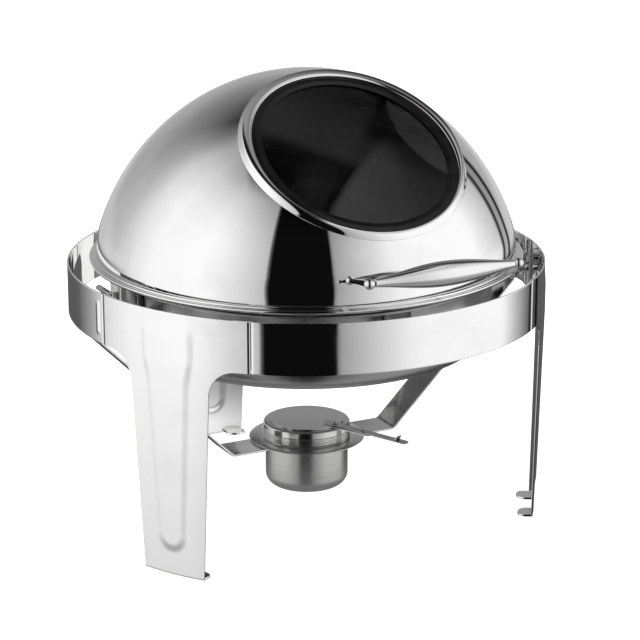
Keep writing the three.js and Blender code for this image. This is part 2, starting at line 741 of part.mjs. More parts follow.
for (const [side, sign] of [["right", 1], ["left", -1]]) {
  const knuckle = new THREE.Vector3(sign * knuckleX, handleY, handleZ);
  const footX = knuckleX - postSplay;
  const foot = new THREE.Vector3(sign * footX, -Math.sqrt(postFootRadius ** 2 - footX ** 2), postFootZ);
  const away = knuckle.clone().sub(foot).normalize();
  const at = (distance) => foot.clone().addScaledVector(away, distance).toArray();
  const ball = new THREE.SphereGeometry(knuckleRadius, 14, 9).translate(...knuckle.toArray());
  const gripSpace = rod(
    [sign * (gripHalfLength - 4), handleY, handleZ],
    [sign * (gripHalfLength + clearance), handleY, handleZ],
    knuckleRadius + 2,
  );
  const collar = rod(at(2), at(6), postRadius + 1.9, 16);
  const post = geometryOf(
    solid(rod(at(2), knuckle.toArray(), postRadius))
      .add(solid(collar))
      .add(solid(ball))
      .subtract(solid(gripSpace)),
  );
  const lidSpace = solid(lidSolid);
  place(chafer, "handle_post_" + side, geometryOf(solid(post).subtract(lidSpace)), polished);
  place(chafer, "handle_screw_" + side, rod(at(-7.5), at(-3.5), postRadius + 1.4, 6), zinc);
}

// ---------------------------------------------------------------- burner

// Ring on the arms that the cup hangs in by its lip.
const cupRing = turned(
  [
    [cupRadius + 0.8, cupRingBottom],
    [cupRingRadius, cupRingBottom],
    [cupRingRadius, cupRingTop],
    [cupRadius + 0.8, cupRingTop],
  ],
  roundBurner,
);
place(chafer, "cup_ring", cupRing, brushed);

const neckRadius = coverRadius - coverSheet - 2 * clearance;
const cup = turned(
  [
    [0, cupBottom],
    ...arc(cupRadius - cupCorner, cupBottom + cupCorner, cupCorner, -90, 0, 4),
    [cupRadius, cupLipBottom],
    [cupLipRadius, cupLipBottom],
    [cupLipRadius, cupLipTop],
    [neckRadius, cupLipTop],
    [neckRadius, cupLipTop + cupNeckHeight],
    [neckRadius - cupSheet, cupLipTop + cupNeckHeight],
    ...arc(cupRadius - cupCorner, cupBottom + cupCorner, cupCorner - cupSheet, 0, -90, 4),
    [0, cupBottom + cupSheet],
  ],
  roundBurner,
);
place(chafer, "burner_cup", cup, brushed);

// Cap over the cup with two rolled beads and the flame port.
const cover = turned(
  [
    [coverRadius - coverSheet, coverBottom],
    [coverRadius, coverBottom],
    [coverRadius, coverBottom + 1],
    [coverRadius + 0.8, coverBottom + 2],
    [coverRadius, coverBottom + 3.2],
    [coverRadius, coverBottom + 4],
    [coverRadius + 0.8, coverBottom + 5],
    [coverRadius, coverBottom + 6.2],
    [coverRadius, coverTop - 2],
    [coverRadius - 2, coverTop],
    [flamePortRadius, coverTop],
    [flamePortRadius, coverTop - coverSheet],
    [coverRadius - 2.6, coverTop - coverSheet],
    [coverRadius - coverSheet, coverTop - 2.6],
  ],
  roundBurner,
);
const along = [Math.cos(radians(leverAngle)), Math.sin(radians(leverAngle))];
const onLever = (distance) => along.map((c) => c * distance);
const jointDistance = damperRadius + leverJointDistance;
const leverReach = damperRadius + leverLength;
const pinAt = onLever(damperPinDistance);
const pinHole = rod([...pinAt, coverTop - 4], [...pinAt, coverTop + 4], damperPinRadius + clearance, roundSmall);
place(chafer, "burner_cover", cut(cover, pinHole), polished);

// Damper disc with its tongue, lever riveted over the tongue, and the pin they turn on.
const disc = plate(arc(0, 0, damperRadius, 0, 360 - 360 / 28, 27), damperBottom, damperSheet);
const tongue = plate(
  roundedBar(onLever(damperRadius - 8), onLever(jointDistance + 6), leverWidth + 1),
  damperBottom,
  damperSheet,
);
const throughBoth = (xy, radius) => rod([...xy, damperBottom - 2], [...xy, leverTop + 4], radius, roundSmall);
const jointAt = onLever(jointDistance);
const damper = cut(
  joined(disc, tongue),
  throughBoth(pinAt, damperPinRadius + clearance),
  throughBoth(jointAt, damperPinRadius + clearance),
);
place(chafer, "damper_disc", damper, brushed);
const bar = plate(
  roundedBar(onLever(damperPinDistance - 8), onLever(leverReach - leverWidth / 2), leverWidth),
  leverBottom,
  damperSheet,
);
const thumbTab = new THREE.BoxGeometry(damperSheet, leverWidth, thumbTabHeight)
  .rotateZ(radians(leverAngle))
  .translate(...onLever(leverReach - thumbTabInset), leverTop + thumbTabHeight / 2 - damperSheet / 2);
const lever = cut(
  joined(bar, thumbTab),
  throughBoth(pinAt, damperPinRadius + clearance),
  throughBoth(jointAt, damperPinRadius + clearance),
);
place(chafer, "damper_lever", lever, brushed);

// A rivet with a head above and below the sheets it holds.
function rivet([x, y], bottom, top) {
  return joined(
    rod([x, y, bottom - clearance - 1], [x, y, top + clearance + 1], damperPinRadius),
    rod([x, y, bottom - clearance - 1], [x, y, bottom - clearance], damperPinRadius + 1.6),
    rod([x, y, top + clearance], [x, y, top + clearance + 1], damperPinRadius + 1.6),
  );
}
place(chafer, "damper_pivot_rivet", rivet(pinAt, coverTop - coverSheet, leverTop), zinc);
place(chafer, "lever_rivet", rivet(jointAt, damperBottom, leverTop), zinc);

// Middle of the overall box, which runs from the grip's front to the back of the hoop.
chafer.position.y = (gripRadius - handleY - hoopRadius) / 2;

export default chafer;
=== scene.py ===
import json
import math

import bmesh
import bpy
import numpy as np
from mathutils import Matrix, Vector


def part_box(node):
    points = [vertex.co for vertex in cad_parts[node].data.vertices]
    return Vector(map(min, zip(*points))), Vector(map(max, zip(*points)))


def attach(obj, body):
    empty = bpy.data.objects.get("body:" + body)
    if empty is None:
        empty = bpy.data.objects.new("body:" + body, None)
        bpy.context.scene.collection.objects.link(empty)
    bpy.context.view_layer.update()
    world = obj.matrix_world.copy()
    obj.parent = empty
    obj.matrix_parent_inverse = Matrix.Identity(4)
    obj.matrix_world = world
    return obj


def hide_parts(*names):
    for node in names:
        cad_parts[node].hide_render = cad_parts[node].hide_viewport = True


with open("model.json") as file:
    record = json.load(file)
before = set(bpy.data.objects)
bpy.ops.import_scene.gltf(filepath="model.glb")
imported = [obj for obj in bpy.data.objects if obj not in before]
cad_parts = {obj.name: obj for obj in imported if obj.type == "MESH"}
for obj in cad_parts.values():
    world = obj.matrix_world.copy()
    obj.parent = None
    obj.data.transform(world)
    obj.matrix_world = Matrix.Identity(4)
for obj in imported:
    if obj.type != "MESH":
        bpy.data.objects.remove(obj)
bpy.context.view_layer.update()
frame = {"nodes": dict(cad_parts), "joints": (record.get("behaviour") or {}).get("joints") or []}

# ---------------------------------------------------------------- where things stand, camera and studio
# Everything hangs on two axes: the hoop's, upright through the table, and the lid's, level from side to side.
# The chafer is looked at from its front left, a little from above, against white.

MM = 0.001
NODE = frame["nodes"]
pivot = next(Vector(j["pos_m"]) for j in frame["joints"] if j["name"] == "lid_roll")
hoop_low, hoop_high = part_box("right_band")
hoop_y = pivot.y
hoop_top = hoop_high.z
hoop_bottom = hoop_low.z
hoop_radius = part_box("rear_leg")[1].y - hoop_y

VIEW_AZIMUTH = math.radians(-26.8)
VIEW_ELEVATION = math.radians(16.7)
VIEW_DISTANCE = 2.44
AIM_HEIGHT = 0.196
LENS = 138.1
TILT_DOWN = math.radians(0.1)
PAN_RIGHT = math.radians(0.33)

to_camera = Vector((
    math.sin(VIEW_AZIMUTH) * math.cos(VIEW_ELEVATION),
    -math.cos(VIEW_AZIMUTH) * math.cos(VIEW_ELEVATION),
    math.sin(VIEW_ELEVATION),
))


def new_object(name, data):
    """A new object in the scene."""
    made = bpy.data.objects.new(name, data)
    bpy.context.scene.collection.objects.link(made)
    return made


camera_data = bpy.data.cameras.new("camera")
camera_data.lens = LENS
camera_data.sensor_width = 36.0
camera_data.clip_start = 0.05
camera_data.clip_end = 60.0
camera = new_object("camera", camera_data)
camera.location = Vector((0.0, hoop_y, AIM_HEIGHT)) + VIEW_DISTANCE * to_camera
camera.rotation_euler = (
    math.radians(90) - TILT_DOWN - VIEW_ELEVATION,
    0.0,
    VIEW_AZIMUTH - PAN_RIGHT,
)
bpy.context.scene.camera = camera
bpy.context.scene.view_settings.view_transform = "Standard"

floor_mesh = bpy.data.meshes.new("floor")
floor_mesh.from_pydata([(-9, -9, 0), (9, -9, 0), (9, 9, 0), (-9, 9, 0)], [], [(0, 1, 2, 3)])
floor = new_object("floor", floor_mesh)
floor.location.z = -0.0004
floor.visible_glossy = False
floor.visible_transmission = False
floor_paint = bpy.data.materials.new("floor_paint")
floor_paint.use_nodes = True
floor_shader = floor_paint.node_tree.nodes["Principled BSDF"]
floor_shader.inputs["Base Color"].default_value = (0.9, 0.9, 0.9, 1)
floor_shader.inputs["Roughness"].default_value = 0.9
floor_shader.inputs["Specular IOR Level"].default_value = 0.1
floor_shader.inputs["Emission Color"].default_value = (1, 1, 1, 1)
floor_shader.inputs["Emission Strength"].default_value = 0.86
floor_mesh.materials.append(floor_paint)


def link(tree, node, values, links=()):
    """Adds a node to a tree, sets its unlinked inputs by name or number, and links the rest."""
    made = tree.nodes.new(node)
    for key, value in values.items():
        if hasattr(made, str(key)):
            setattr(made, key, value)
        else:
            made.inputs[key].default_value = value
    for key, socket in dict(links).items():
        tree.links.new(socket, made.inputs[key])
    return made


def ramp(tree, factor, stops, ease="LINEAR"):
    """Adds a colour ramp with grey stops of (place, brightness)."""
    made = link(tree, "ShaderNodeValToRGB", {}, {"Fac": factor})
    made.color_ramp.interpolation = ease
    elements = made.color_ramp.elements
    while len(elements) < len(stops):
        elements.new(0.5)
    for element, (place, grey) in zip(elements, stops):
        element.position = place
        element.color = (grey, grey, grey, 1)
    return made.outputs["Color"]


def plug(tree, made, place, term):
    """Sets a node's input to a number or a colour, or links a socket to it."""
    if isinstance(term, bpy.types.NodeSocket):
        tree.links.new(term, made.inputs[place])
    else:
        made.inputs[place].default_value = term


def maths(tree, operation, *terms):
    """A Math node on numbers or sockets; gives its result."""
    made = link(tree, "ShaderNodeMath", {"operation": operation})
    for place, term in enumerate(terms):
        plug(tree, made, place, term)
    return made.outputs[0]


def vectors(tree, operation, first, second=None):
    """A Vector Math node on sockets or triples; gives its vector, or the number where it is a length."""
    made = link(tree, "ShaderNodeVectorMath", {"operation": operation}, {0: first})
    if second is not None:
        plug(tree, made, "Scale" if operation == "SCALE" else 1, second)
    return made.outputs["Value" if operation == "LENGTH" else "Vector"]


def blend(tree, first, second, share_of, way="MIX"):
    """A colour Mix node of two colours or sockets by a share; gives its colour."""
    made = link(tree, "ShaderNodeMix", {"data_type": "RGBA", "blend_type": way})
    for place, term in ((0, share_of), (6, first), (7, second)):
        plug(tree, made, place, term)
    return made.outputs[2]


def rescale(tree, value, ends):
    """A Map Range node with its own ends of (socket's name, number); gives its result."""
    return link(tree, "ShaderNodeMapRange", ends, {"Value": value}).outputs["Result"]


def place_on(tree):
    """The place on the piece, in metres."""
    return link(tree, "ShaderNodeTexCoord", {}).outputs["Object"]


def from_axis(tree):
    """The place on the piece, in metres from the foot of the hoop's axis."""
    return vectors(tree, "SUBTRACT", place_on(tree), (0, hoop_y, 0))


# The studio: two big soft boxes with a dark gap between them where the camera stands, a narrow dark strip
# behind on the right, and a dark ceiling. Bearings are degrees to the right of the camera, seen from the
# object.
world = bpy.data.worlds.new("studio")
bpy.context.scene.world = world
world.use_nodes = True
sky = world.node_tree
sky.nodes.clear()
direction = link(sky, "ShaderNodeTexCoord", {}).outputs["Generated"]
faced = link(
    sky, "ShaderNodeVectorRotate", {"rotation_type": "Z_AXIS", "Angle": -VIEW_AZIMUTH}, {"Vector": direction}
).outputs["Vector"]
axes = link(sky, "ShaderNodeSeparateXYZ", {}, {"Vector": faced}).outputs
towards = maths(sky, "MULTIPLY", axes["Y"], -1.0)
bearing = maths(sky, "ARCTAN2", axes["X"], towards)
around = rescale(sky, bearing, {"From Min": -math.pi, "From Max": math.pi})
height = maths(sky, "ARCSINE", axes["Z"])
upward = rescale(sky, height, {"From Min": -math.pi / 2, "From Max": math.pi / 2})


def bearings(stops):
    """Ramp stops from (degrees to the right of the camera, brightness)."""
    return [((degrees + 180) / 360, grey) for degrees, grey in stops]


def heights(stops):
    """Ramp stops from (degrees above the horizon, brightness)."""
    return [((degrees + 90) / 180, grey) for degrees, grey in stops]


wall = ramp(sky, around, bearings([
    (-180, 0.42), (-150, 0.40), (-125, 0.55), (-107, 0.83), (-92, 1.00), (-60, 1.05), (-50, 0.97),
    (-21.5, 0.54), (-21, 0.004), (15, 0.004), (15.6, 0.36), (34, 0.66), (51, 0.95), (62, 1.03), (105, 1.03),
    (133, 0.55), (134, 0.03), (137, 0.03), (138, 0.35), (142, 0.30), (143, 0.02), (146, 0.02), (147, 0.40),
    (165, 0.45), (180, 0.42),
]))
side_lift = ramp(sky, upward, heights([
    (-90, 0.30), (-50, 0.30), (-34, 0.42), (-25, 0.74), (-20, 0.96), (-14, 1.0), (30, 1.0), (40, 0.88),
    (50, 0.68), (60, 0.45), (66, 0.33), (90, 0.3),
]))
back_lift = ramp(sky, upward, heights([
    (-90, 0.1), (-20, 0.2), (-13, 0.3), (-10, 1.4), (-4, 1.4), (2, 1.05), (15, 0.9), (25, 0.65), (40, 0.35),
    (50, 0.12), (90, 0.1),
]))
at_back = ramp(sky, around, bearings([
    (-180, 1.0), (-140, 1.0), (-112, 0.0), (108, 0.0), (133, 1.0), (180, 1.0),
]))
lift = blend(sky, side_lift, back_lift, at_back)
wall_lit = blend(sky, wall, lift, 1.0, "MULTIPLY")


def pointing(bearing_of):
    """Share of a direction that points to a bearing, for the ceiling's layout: x sin b + towards cos b."""
    turn = math.radians(bearing_of)
    sideways = maths(sky, "MULTIPLY", axes["X"], math.sin(turn))
    forward = maths(sky, "MULTIPLY", towards, math.cos(turn))
    return rescale(sky, maths(sky, "ADD", sideways, forward), {"From Min": -1.0, "From Max": 1.0})


def shares(stops):
    """Ramp stops from (share between -1 and 1, brightness)."""
    return [((share_of + 1) / 2, grey) for share_of, grey in stops]


# Overhead, the dark gap runs on from front to back between the two boxes' upper edges, up to a faint grey
# beam.
gap = ramp(sky, pointing(83), shares([
    (-1, 0.60), (-0.6, 0.50), (-0.44, 0.38), (-0.40, 0.07), (-0.22, 0.02), (0.334, 0.01), (0.337, 0.85),
    (0.6, 0.75), (1, 0.6),
]))
beam = ramp(sky, pointing(173), shares([
    (-1, 0.0), (0.292, 0.0), (0.33, 0.30), (0.5, 0.22), (0.65, 0.06), (1, 0.05),
]))
ceiling = blend(sky, gap, beam, 1.0, "LIGHTEN")
overhead = ramp(sky, upward, heights([(-90, 0.0), (54, 0.0), (67, 1.0), (90, 1.0)]), "EASE")
surround = blend(sky, wall_lit, ceiling, overhead)
seen = link(sky, "ShaderNodeLightPath", {}).outputs["Is Camera Ray"]
backdrop = blend(sky, surround, (1, 1, 1, 1), seen)
light = link(sky, "ShaderNodeBackground", {"Strength": 1.0}, {"Color": backdrop})
link(sky, "ShaderNodeOutputWorld", {}, {"Surface": light.outputs["Background"]})

# Painted shadow: the table's shaded patch under the chafer as the steel mirrors it, grey in the middle and
# gone at its rim.
PATCH_RADIUS = 0.25
PATCH_CORNERS = 64
patch_mesh = bpy.data.meshes.new("floor_shade")
patch_turn = np.linspace(0, 2 * math.pi, PATCH_CORNERS, endpoint=False)
patch_rim = np.stack([
    PATCH_RADIUS * np.cos(patch_turn),
    hoop_y + PATCH_RADIUS * np.sin(patch_turn),
    np.full(PATCH_CORNERS, -0.0002),
], -1)
patch_mesh.from_pydata(patch_rim.tolist(), [], [range(PATCH_CORNERS)])
floor_shade = new_object("floor_shade", patch_mesh)
floor_shade.visible_camera = False
floor_shade.visible_diffuse = False
floor_shade.visible_shadow = False
floor_shade.visible_transmission = False
patch_paint = bpy.data.materials.new("floor_shade")
patch_paint.use_nodes = True
patch = patch_paint.node_tree
patch.nodes.clear()
patch_out = vectors(patch, "LENGTH", from_axis(patch))
patch_grey = ramp(patch, patch_out, [(0.05, 0.24), (0.2, 0.34)])
patch_cover = ramp(patch, patch_out, [(0.07, 0.9), (0.19, 0.0)])
# The painted shadow glows grey on a disc that only glossy rays see, so it shows only in the steel's
# reflections.
patch_glow = link(patch, "ShaderNodeEmission", {}, {"Color": patch_grey}).outputs["Emission"]
patch_clear = link(patch, "ShaderNodeBsdfTransparent", {}).outputs["BSDF"]
patch_mixed = link(patch, "ShaderNodeMixShader", {}, {"Fac": patch_cover, 1: patch_clear, 2: patch_glow})
link(patch, "ShaderNodeOutputMaterial", {}, {"Surface": patch_mixed.outputs["Shader"]})
patch_mesh.materials.append(patch_paint)

top_light = bpy.data.lights.new("top_light", "AREA")
top_light.shape = "DISK"
top_light.size = 2.4
top_light.energy = 34.0
top_lamp = new_object("top_light", top_light)
top_lamp.location = (-0.5, hoop_y - 0.3, 2.6)
top_lamp.rotation_euler = (math.radians(-6), math.radians(-11), 0)
top_lamp.visible_glossy = False
top_lamp.visible_camera = False

# ---------------------------------------------------------------- hoop: polished sheet bands
# Three segments of mirror-polished stainless sheet, rolled to the hoop's radius. Each end is joggled inward
# so that it passes behind a leg's wing. The two side segments carry a short upright bead beside the pivot
# bracket.


def full_turn(count):
    """Angles evenly round a circle, without the last one that would close it."""
    return np.linspace(0, 2 * math.pi, count, endpoint=False)


def grid_faces(rows, columns, closed_rows=False, closed_columns=False):
    """Quads of a grid whose vertex (i, j) is number i * columns + j, wrapped where a direction is closed."""
    i = np.arange(rows if closed_rows else rows - 1)[:, None]
    j = np.arange(columns if closed_columns else columns - 1)[None, :]
    i_next, j_next = (i + 1) % rows, (j + 1) % columns
    corners = [i * columns + j, i * columns + j_next, i_next * columns + j_next, i_next * columns + j]
    return np.stack([np.broadcast_to(c, (i.size, j.size)) for c in corners], -1).reshape(-1, 4)


def mesh_piece(name, points, faces, inside=None, sharp=35.0):
    """One object from an array of points in metres and an array of faces, smooth but for edges over an
    angle.

    Faces are turned outwards: the signed volume between them and a point inside the piece, the sum of each
    face's corner-to-corner cross product times its place, has to come out positive.
    """
    points = np.asarray(points, float).reshape(-1, 3)
    faces = [np.asarray(f) for f in (faces if isinstance(faces, list) else [faces])]
    middle = points.mean(0) if inside is None else np.asarray(inside, float)
    volume = 0.0
    for group in faces:
        corners = points[group] - middle
        spread = np.cross(corners[:, 1] - corners[:, 0], corners[:, 2] - corners[:, 0])
        if group.shape[1] > 3:
            spread = spread + np.cross(corners[:, 2] - corners[:, 0], corners[:, 3] - corners[:, 0])
        volume += np.einsum("ij,ij->", spread, corners.mean(1)) if group.shape[1] <= 4 else 0.0
    ordered = [f if volume > 0 else f[:, ::-1] for f in faces]
    mesh = bpy.data.meshes.new(name)
    mesh.from_pydata(points.tolist(), [], [face for group in ordered for face in group.tolist()])
    bm = bmesh.new()
    bm.from_mesh(mesh)
    bmesh.ops.remove_doubles(bm, verts=bm.verts, dist=1e-7)
    bm.to_mesh(mesh)
    bm.free()
    mesh.shade_smooth()
    mesh.set_sharp_from_angle(angle=math.radians(sharp))
    return new_object(name, mesh)


def finish_piece(piece, body, slot, material, *nodes):
    """Gives a piece its material and its body, and hides the nodes that it stands for; the slot is not used.
    """
    piece.data.materials.clear()
    piece.data.materials.append(material)
    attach(piece, body)
    if nodes:
        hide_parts(*nodes)
    return piece


def break_edges(piece, width, over):
    """Rounds edges sharper than an angle in degrees with a small bevel."""
    rounding = piece.modifiers.new("edges", "BEVEL")
    rounding.width = width
    rounding.segments = 2
    rounding.limit_method = "ANGLE"
    rounding.angle_limit = math.radians(over)
    return piece


def thicken(piece, sheet, edge=0.00035, offset=-1.0):
    """Sheet metal from one face: a wall of the sheet's gauge behind it, and its cut edges broken by a small
    bevel."""
    wall_maker = piece.modifiers.new("sheet", "SOLIDIFY")
    wall_maker.thickness = sheet
    wall_maker.offset = offset
    wall_maker.use_even_offset = True
    return break_edges(piece, edge, 55) if edge else piece


def smoothstep(x):
    """3x^2 - 2x^3 between 0 and 1."""
    x = np.clip(x, 0, 1)
    return x * x * (3 - 2 * x)


def new_material(name, constants):
    """A new material, its node tree and its shader, with constants of (socket's name, value)."""
    material = bpy.data.materials.new(name)
    material.use_nodes = True
    shader = material.node_tree.nodes["Principled BSDF"]
    for socket, value in constants.items():
        shader.inputs[socket].default_value = value
    return material, material.node_tree, shader


def finish_group(name, inputs):
    """A new node group for a finish: float or colour inputs of (name, value), and a colour, a roughness and
    a height out."""
    group = bpy.data.node_groups.new(name, "ShaderNodeTree")
    for label, value in inputs:
        kind = "NodeSocketFloat" if isinstance(value, (int, float)) else "NodeSocketColor"
        group.interface.new_socket(label, in_out="INPUT", socket_type=kind).default_value = value
    for label, kind in (("Color", "Color"), ("Roughness", "Float"), ("Height", "Float")):
        group.interface.new_socket(label, in_out="OUTPUT", socket_type="NodeSocket" + kind)
    return group, group.nodes.new("NodeGroupInput").outputs


def group_gives(group, color, roughness, height):
    """Links the sockets that a finish's group gives to its output."""
    link(group, "NodeGroupOutput", {}, {"Color": color, "Roughness": roughness, "Height": height})


def noise(tree, place, scale, detail, distortion=0.0):
    """Soft cloudy noise over a place; gives its height from 0 to 1."""
    settings = {"Scale": scale, "Detail": detail, "Distortion": distortion}
    return link(tree, "ShaderNodeTexNoise", settings, {"Vector": place}).outputs["Fac"]


# Mirror polish: the buffed sheet's slow ripple, fine wheel scratches, and faint wiped marks in the gloss.
polish, polish_in = finish_group(
    "mirror_polish", [("Tint", (0.9, 0.9, 0.9, 1)), ("Gloss", 0.03), ("Marks", 0.06)]
)
polish_place = place_on(polish)
ripple = noise(polish, polish_place, 9.0, 1.0)
stretch = link(
    polish, "ShaderNodeMapping", {"Scale": (60.0, 60.0, 900.0)}, {"Vector": polish_place}
).outputs["Vector"]
scratches = noise(polish, stretch, 1.0, 3.0)
wiped = noise(polish, polish_place, 14.0, 5.0, 1.6)
wiped_marks = rescale(polish, wiped, {"From Min": 0.5, "From Max": 0.78})
rough = maths(polish, "ADD", maths(polish, "MULTIPLY", wiped_marks, polish_in["Marks"]), polish_in["Gloss"])
dulled = rescale(polish, wiped_marks, {"To Min": 1.0, "To Max": 0.93})
tinted = vectors(polish, "SCALE", polish_in["Tint"], dulled)
relief = maths(polish, "ADD", ripple, maths(polish, "MULTIPLY", scratches, 0.012))
group_gives(polish, tinted, rough, relief)


def place_group(tree, shader, group, tint, gloss, depth):
    """Puts a finish's group in a material: colour and roughness go to the shader, height to its bump."""
    surface = link(tree, "ShaderNodeGroup", {"node_tree": group, "Tint": (*tint, 1), "Gloss": gloss})
    plug(tree, shader, "Base Color", surface.outputs["Color"])
    plug(tree, shader, "Roughness", surface.outputs["Roughness"])
    bump = link(
        tree, "ShaderNodeBump", {"Strength": 1.0, "Distance": depth}, {"Height": surface.outputs["Height"]}
    )
    plug(tree, shader, "Normal", bump.outputs["Normal"])
    return surface


def polished_steel(name, tint=(0.92, 0.92, 0.915), gloss=0.025, marks=0.05, ripple_depth=0.00035):
    """Mirror-polished stainless: tint, roughness where clean, how much marks add, and the ripple's depth."""
    constants = {"Base Color": (*tint, 1), "Metallic": 1.0, "Roughness": gloss}
    material, tree, shader = new_material(name, constants)
    surface = place_group(tree, shader, polish, tint, gloss, ripple_depth)
    surface.inputs["Marks"].default_value = marks
    return material


hoop_steel = polished_steel("hoop_steel")
HOOP_SHEET = 1.5 * MM
WING_ANGLE = 20.5
SEAM_ANGLE = 0.12
JOGGLE_ANGLE = 0.5
LAP_ANGLE = 4.0
LAP_GAP = 0.3 * MM
BEAD_ANGLE = 1.6
BEAD_OFFSET = 7.0
BEAD_HALF_HEIGHT = 17.5 * MM
BEAD_HALF_WIDTH = 4.6 * MM
BEAD_RISE = 0.9 * MM


def around_hoop(angle, radius, z):
    """Points at a bearing in degrees about the hoop's axis, a distance from it and a height."""
    turn = np.radians(angle)
    return np.stack(np.broadcast_arrays(radius * np.cos(turn), hoop_y + radius * np.sin(turn), z), -1)


def hoop_band(name, middle, beads=()):
    """A cylinder patch r(angle, z): the hoop's radius, less the joggle past each seam, plus each bead's rise.

    A bead is a bar with round ends: its rise falls by a smooth step with the distance from its middle line.
    """
    reach = 60 - WING_ANGLE - SEAM_ANGLE
    flat = np.linspace(-reach + JOGGLE_ANGLE, reach - JOGGLE_ANGLE, 120)
    step = np.linspace(0, JOGGLE_ANGLE, 5)[1:]
    tongue = np.array([reach + 1.2, reach + LAP_ANGLE])
    end = np.concatenate([reach - JOGGLE_ANGLE + step, tongue])
    angle = np.concatenate([-end, flat, end])
    bead_columns = [middle_of + np.linspace(-BEAD_ANGLE, BEAD_ANGLE, 15) for middle_of in beads]
    angle = np.unique(np.round(np.concatenate([angle, *bead_columns]), 5))
    z = np.linspace(hoop_bottom, hoop_top, 41)
    a, h = np.meshgrid(angle, z, indexing="ij")
    joggle = (HOOP_SHEET + LAP_GAP) * smoothstep((np.abs(a) - reach + JOGGLE_ANGLE) / JOGGLE_ANGLE)
    rise = np.zeros_like(a)
    for middle_of in beads:
        across = np.radians(a - middle_of) * hoop_radius
        along = np.maximum(np.abs(h - (hoop_top + hoop_bottom) / 2) - BEAD_HALF_HEIGHT + BEAD_HALF_WIDTH, 0)
        rise = rise + BEAD_RISE * smoothstep(1 - np.hypot(across, along) / BEAD_HALF_WIDTH)
    points = around_hoop(a + middle, hoop_radius - joggle + rise, h)
    piece = mesh_piece(name, points, grid_faces(len(angle), len(z)), (0, hoop_y, 0.23))
    return finish_piece(thicken(piece, HOOP_SHEET), "frame", "polished_steel", hoop_steel, name)


hoop_band("front_band", -90)
hoop_band("right_band", 30, beads=[-30 - BEAD_OFFSET])
hoop_band("left_band", 150, beads=[30 + BEAD_OFFSET])

# ---------------------------------------------------------------- legs
# Each leg is one plate pressed from the same sheet: a wing each way along the hoop, a fillet down into a
# tapering shank that leans in a little, a long panel embossed down its middle, and two small foot tabs
# folded inward.

WING = math.radians(WING_ANGLE - SEAM_ANGLE) * hoop_radius
LEG_TOP = 44 * MM
LEG_FOOT = 35 * MM
LEG_FILLET = 27 * MM
LEG_LEAN = 5 * MM
PANEL_RISE = 0.9 * MM
PANEL_EDGE = 9 * MM
PANEL_AT_HOOP, PANEL_NECK, PANEL_END = 31 * MM, 26 * MM, 18 * MM
PANEL_TAPER_LOW, PANEL_TAPER_HIGH = 45 * MM, 195 * MM
PANEL_SHOULDER, SHOULDER_HEIGHT = 188 * MM, 34 * MM
PANEL_BOTTOM = 22 * MM
PANEL_TOP, PANEL_FADE = 251 * MM, 16 * MM


def leg_outline(distance):
    """Height of a leg's lower edge at a distance along the hoop from its middle: foot, side, fillet, hoop
    edge."""
    knee = hoop_bottom - LEG_FILLET
    side = knee * (distance - LEG_FOOT) / (LEG_TOP - LEG_FOOT)
    to_centre = np.clip(LEG_TOP + LEG_FILLET - distance, 0, LEG_FILLET)
    round_part = knee + np.sqrt(np.maximum(LEG_FILLET**2 - to_centre**2, 0))
    edge = np.where(distance <= LEG_FOOT, 0.0, np.where(distance < LEG_TOP, side, round_part))
    return np.where(distance >= LEG_TOP + LEG_FILLET, hoop_bottom, edge)


def leg_radius(z):
    """The hoop's radius down to its lower edge, then leaning in evenly to the foot."""
    return hoop_radius - LEG_LEAN * np.clip((hoop_bottom - z) / hoop_bottom, 0, 1)


def panel_rise(s, z):
    """The embossed panel: a smooth step with the distance inside an outline that is wide at the hoop, drawn
    in below it, tapering to a round lower end, and faded out under the hoop's top edge."""
    share_up = np.clip((z - PANEL_TAPER_LOW) / (PANEL_TAPER_HIGH - PANEL_TAPER_LOW), 0, 1)
    taper = PANEL_END + (PANEL_NECK - PANEL_END) * share_up
    half = taper + (PANEL_AT_HOOP - PANEL_NECK) * smoothstep((z - PANEL_SHOULDER) / SHOULDER_HEIGHT)
    below = np.maximum(PANEL_BOTTOM + PANEL_END - z, 0)
    inside = np.where(below > 0, PANEL_END - np.hypot(s, below), half - np.abs(s))
    return PANEL_RISE * smoothstep(inside / PANEL_EDGE) * smoothstep((PANEL_TOP - z) / PANEL_FADE)


def hoop_leg(name, bearing_of):
    """A patch over distance s along the hoop and height from the leg's outline to the hoop's top, at the
    leaning radius plus the panel's rise; the foot tabs are flat plates whose inner end is a half round."""
    fillet = LEG_TOP + LEG_FILLET * (1 - np.cos(np.linspace(0, math.pi / 2, 22)))
    half = np.concatenate([
        np.linspace(0, LEG_FOOT, 42),
        np.linspace(LEG_FOOT, LEG_TOP, 14)[1:],
        fillet[1:],
        np.linspace(LEG_TOP + LEG_FILLET, WING, 8)[1:],
    ])
    s = np.concatenate([-half[:0:-1], half])
    low = leg_outline(np.abs(s))
    share_up = np.linspace(0, 1, 150)
    z = low[:, None] + (hoop_top - low[:, None]) * share_up[None, :]
    s_grid = np.broadcast_to(s[:, None], z.shape)
    radius = leg_radius(z) + panel_rise(s_grid, z)
    points = around_hoop(bearing_of + np.degrees(s_grid / hoop_radius), radius, z)
    piece = mesh_piece(name, points, grid_faces(*z.shape), (0, hoop_y, 0.15))
    return finish_piece(thicken(piece, HOOP_SHEET), "frame", "polished_steel", hoop_steel, name)


TAB_SHEET = 2 * MM
TAB_WIDTH = 20 * MM
TAB_LENGTH = 15 * MM
TAB_ROUND = 8 * MM
TAB_OFFSET = 24 * MM


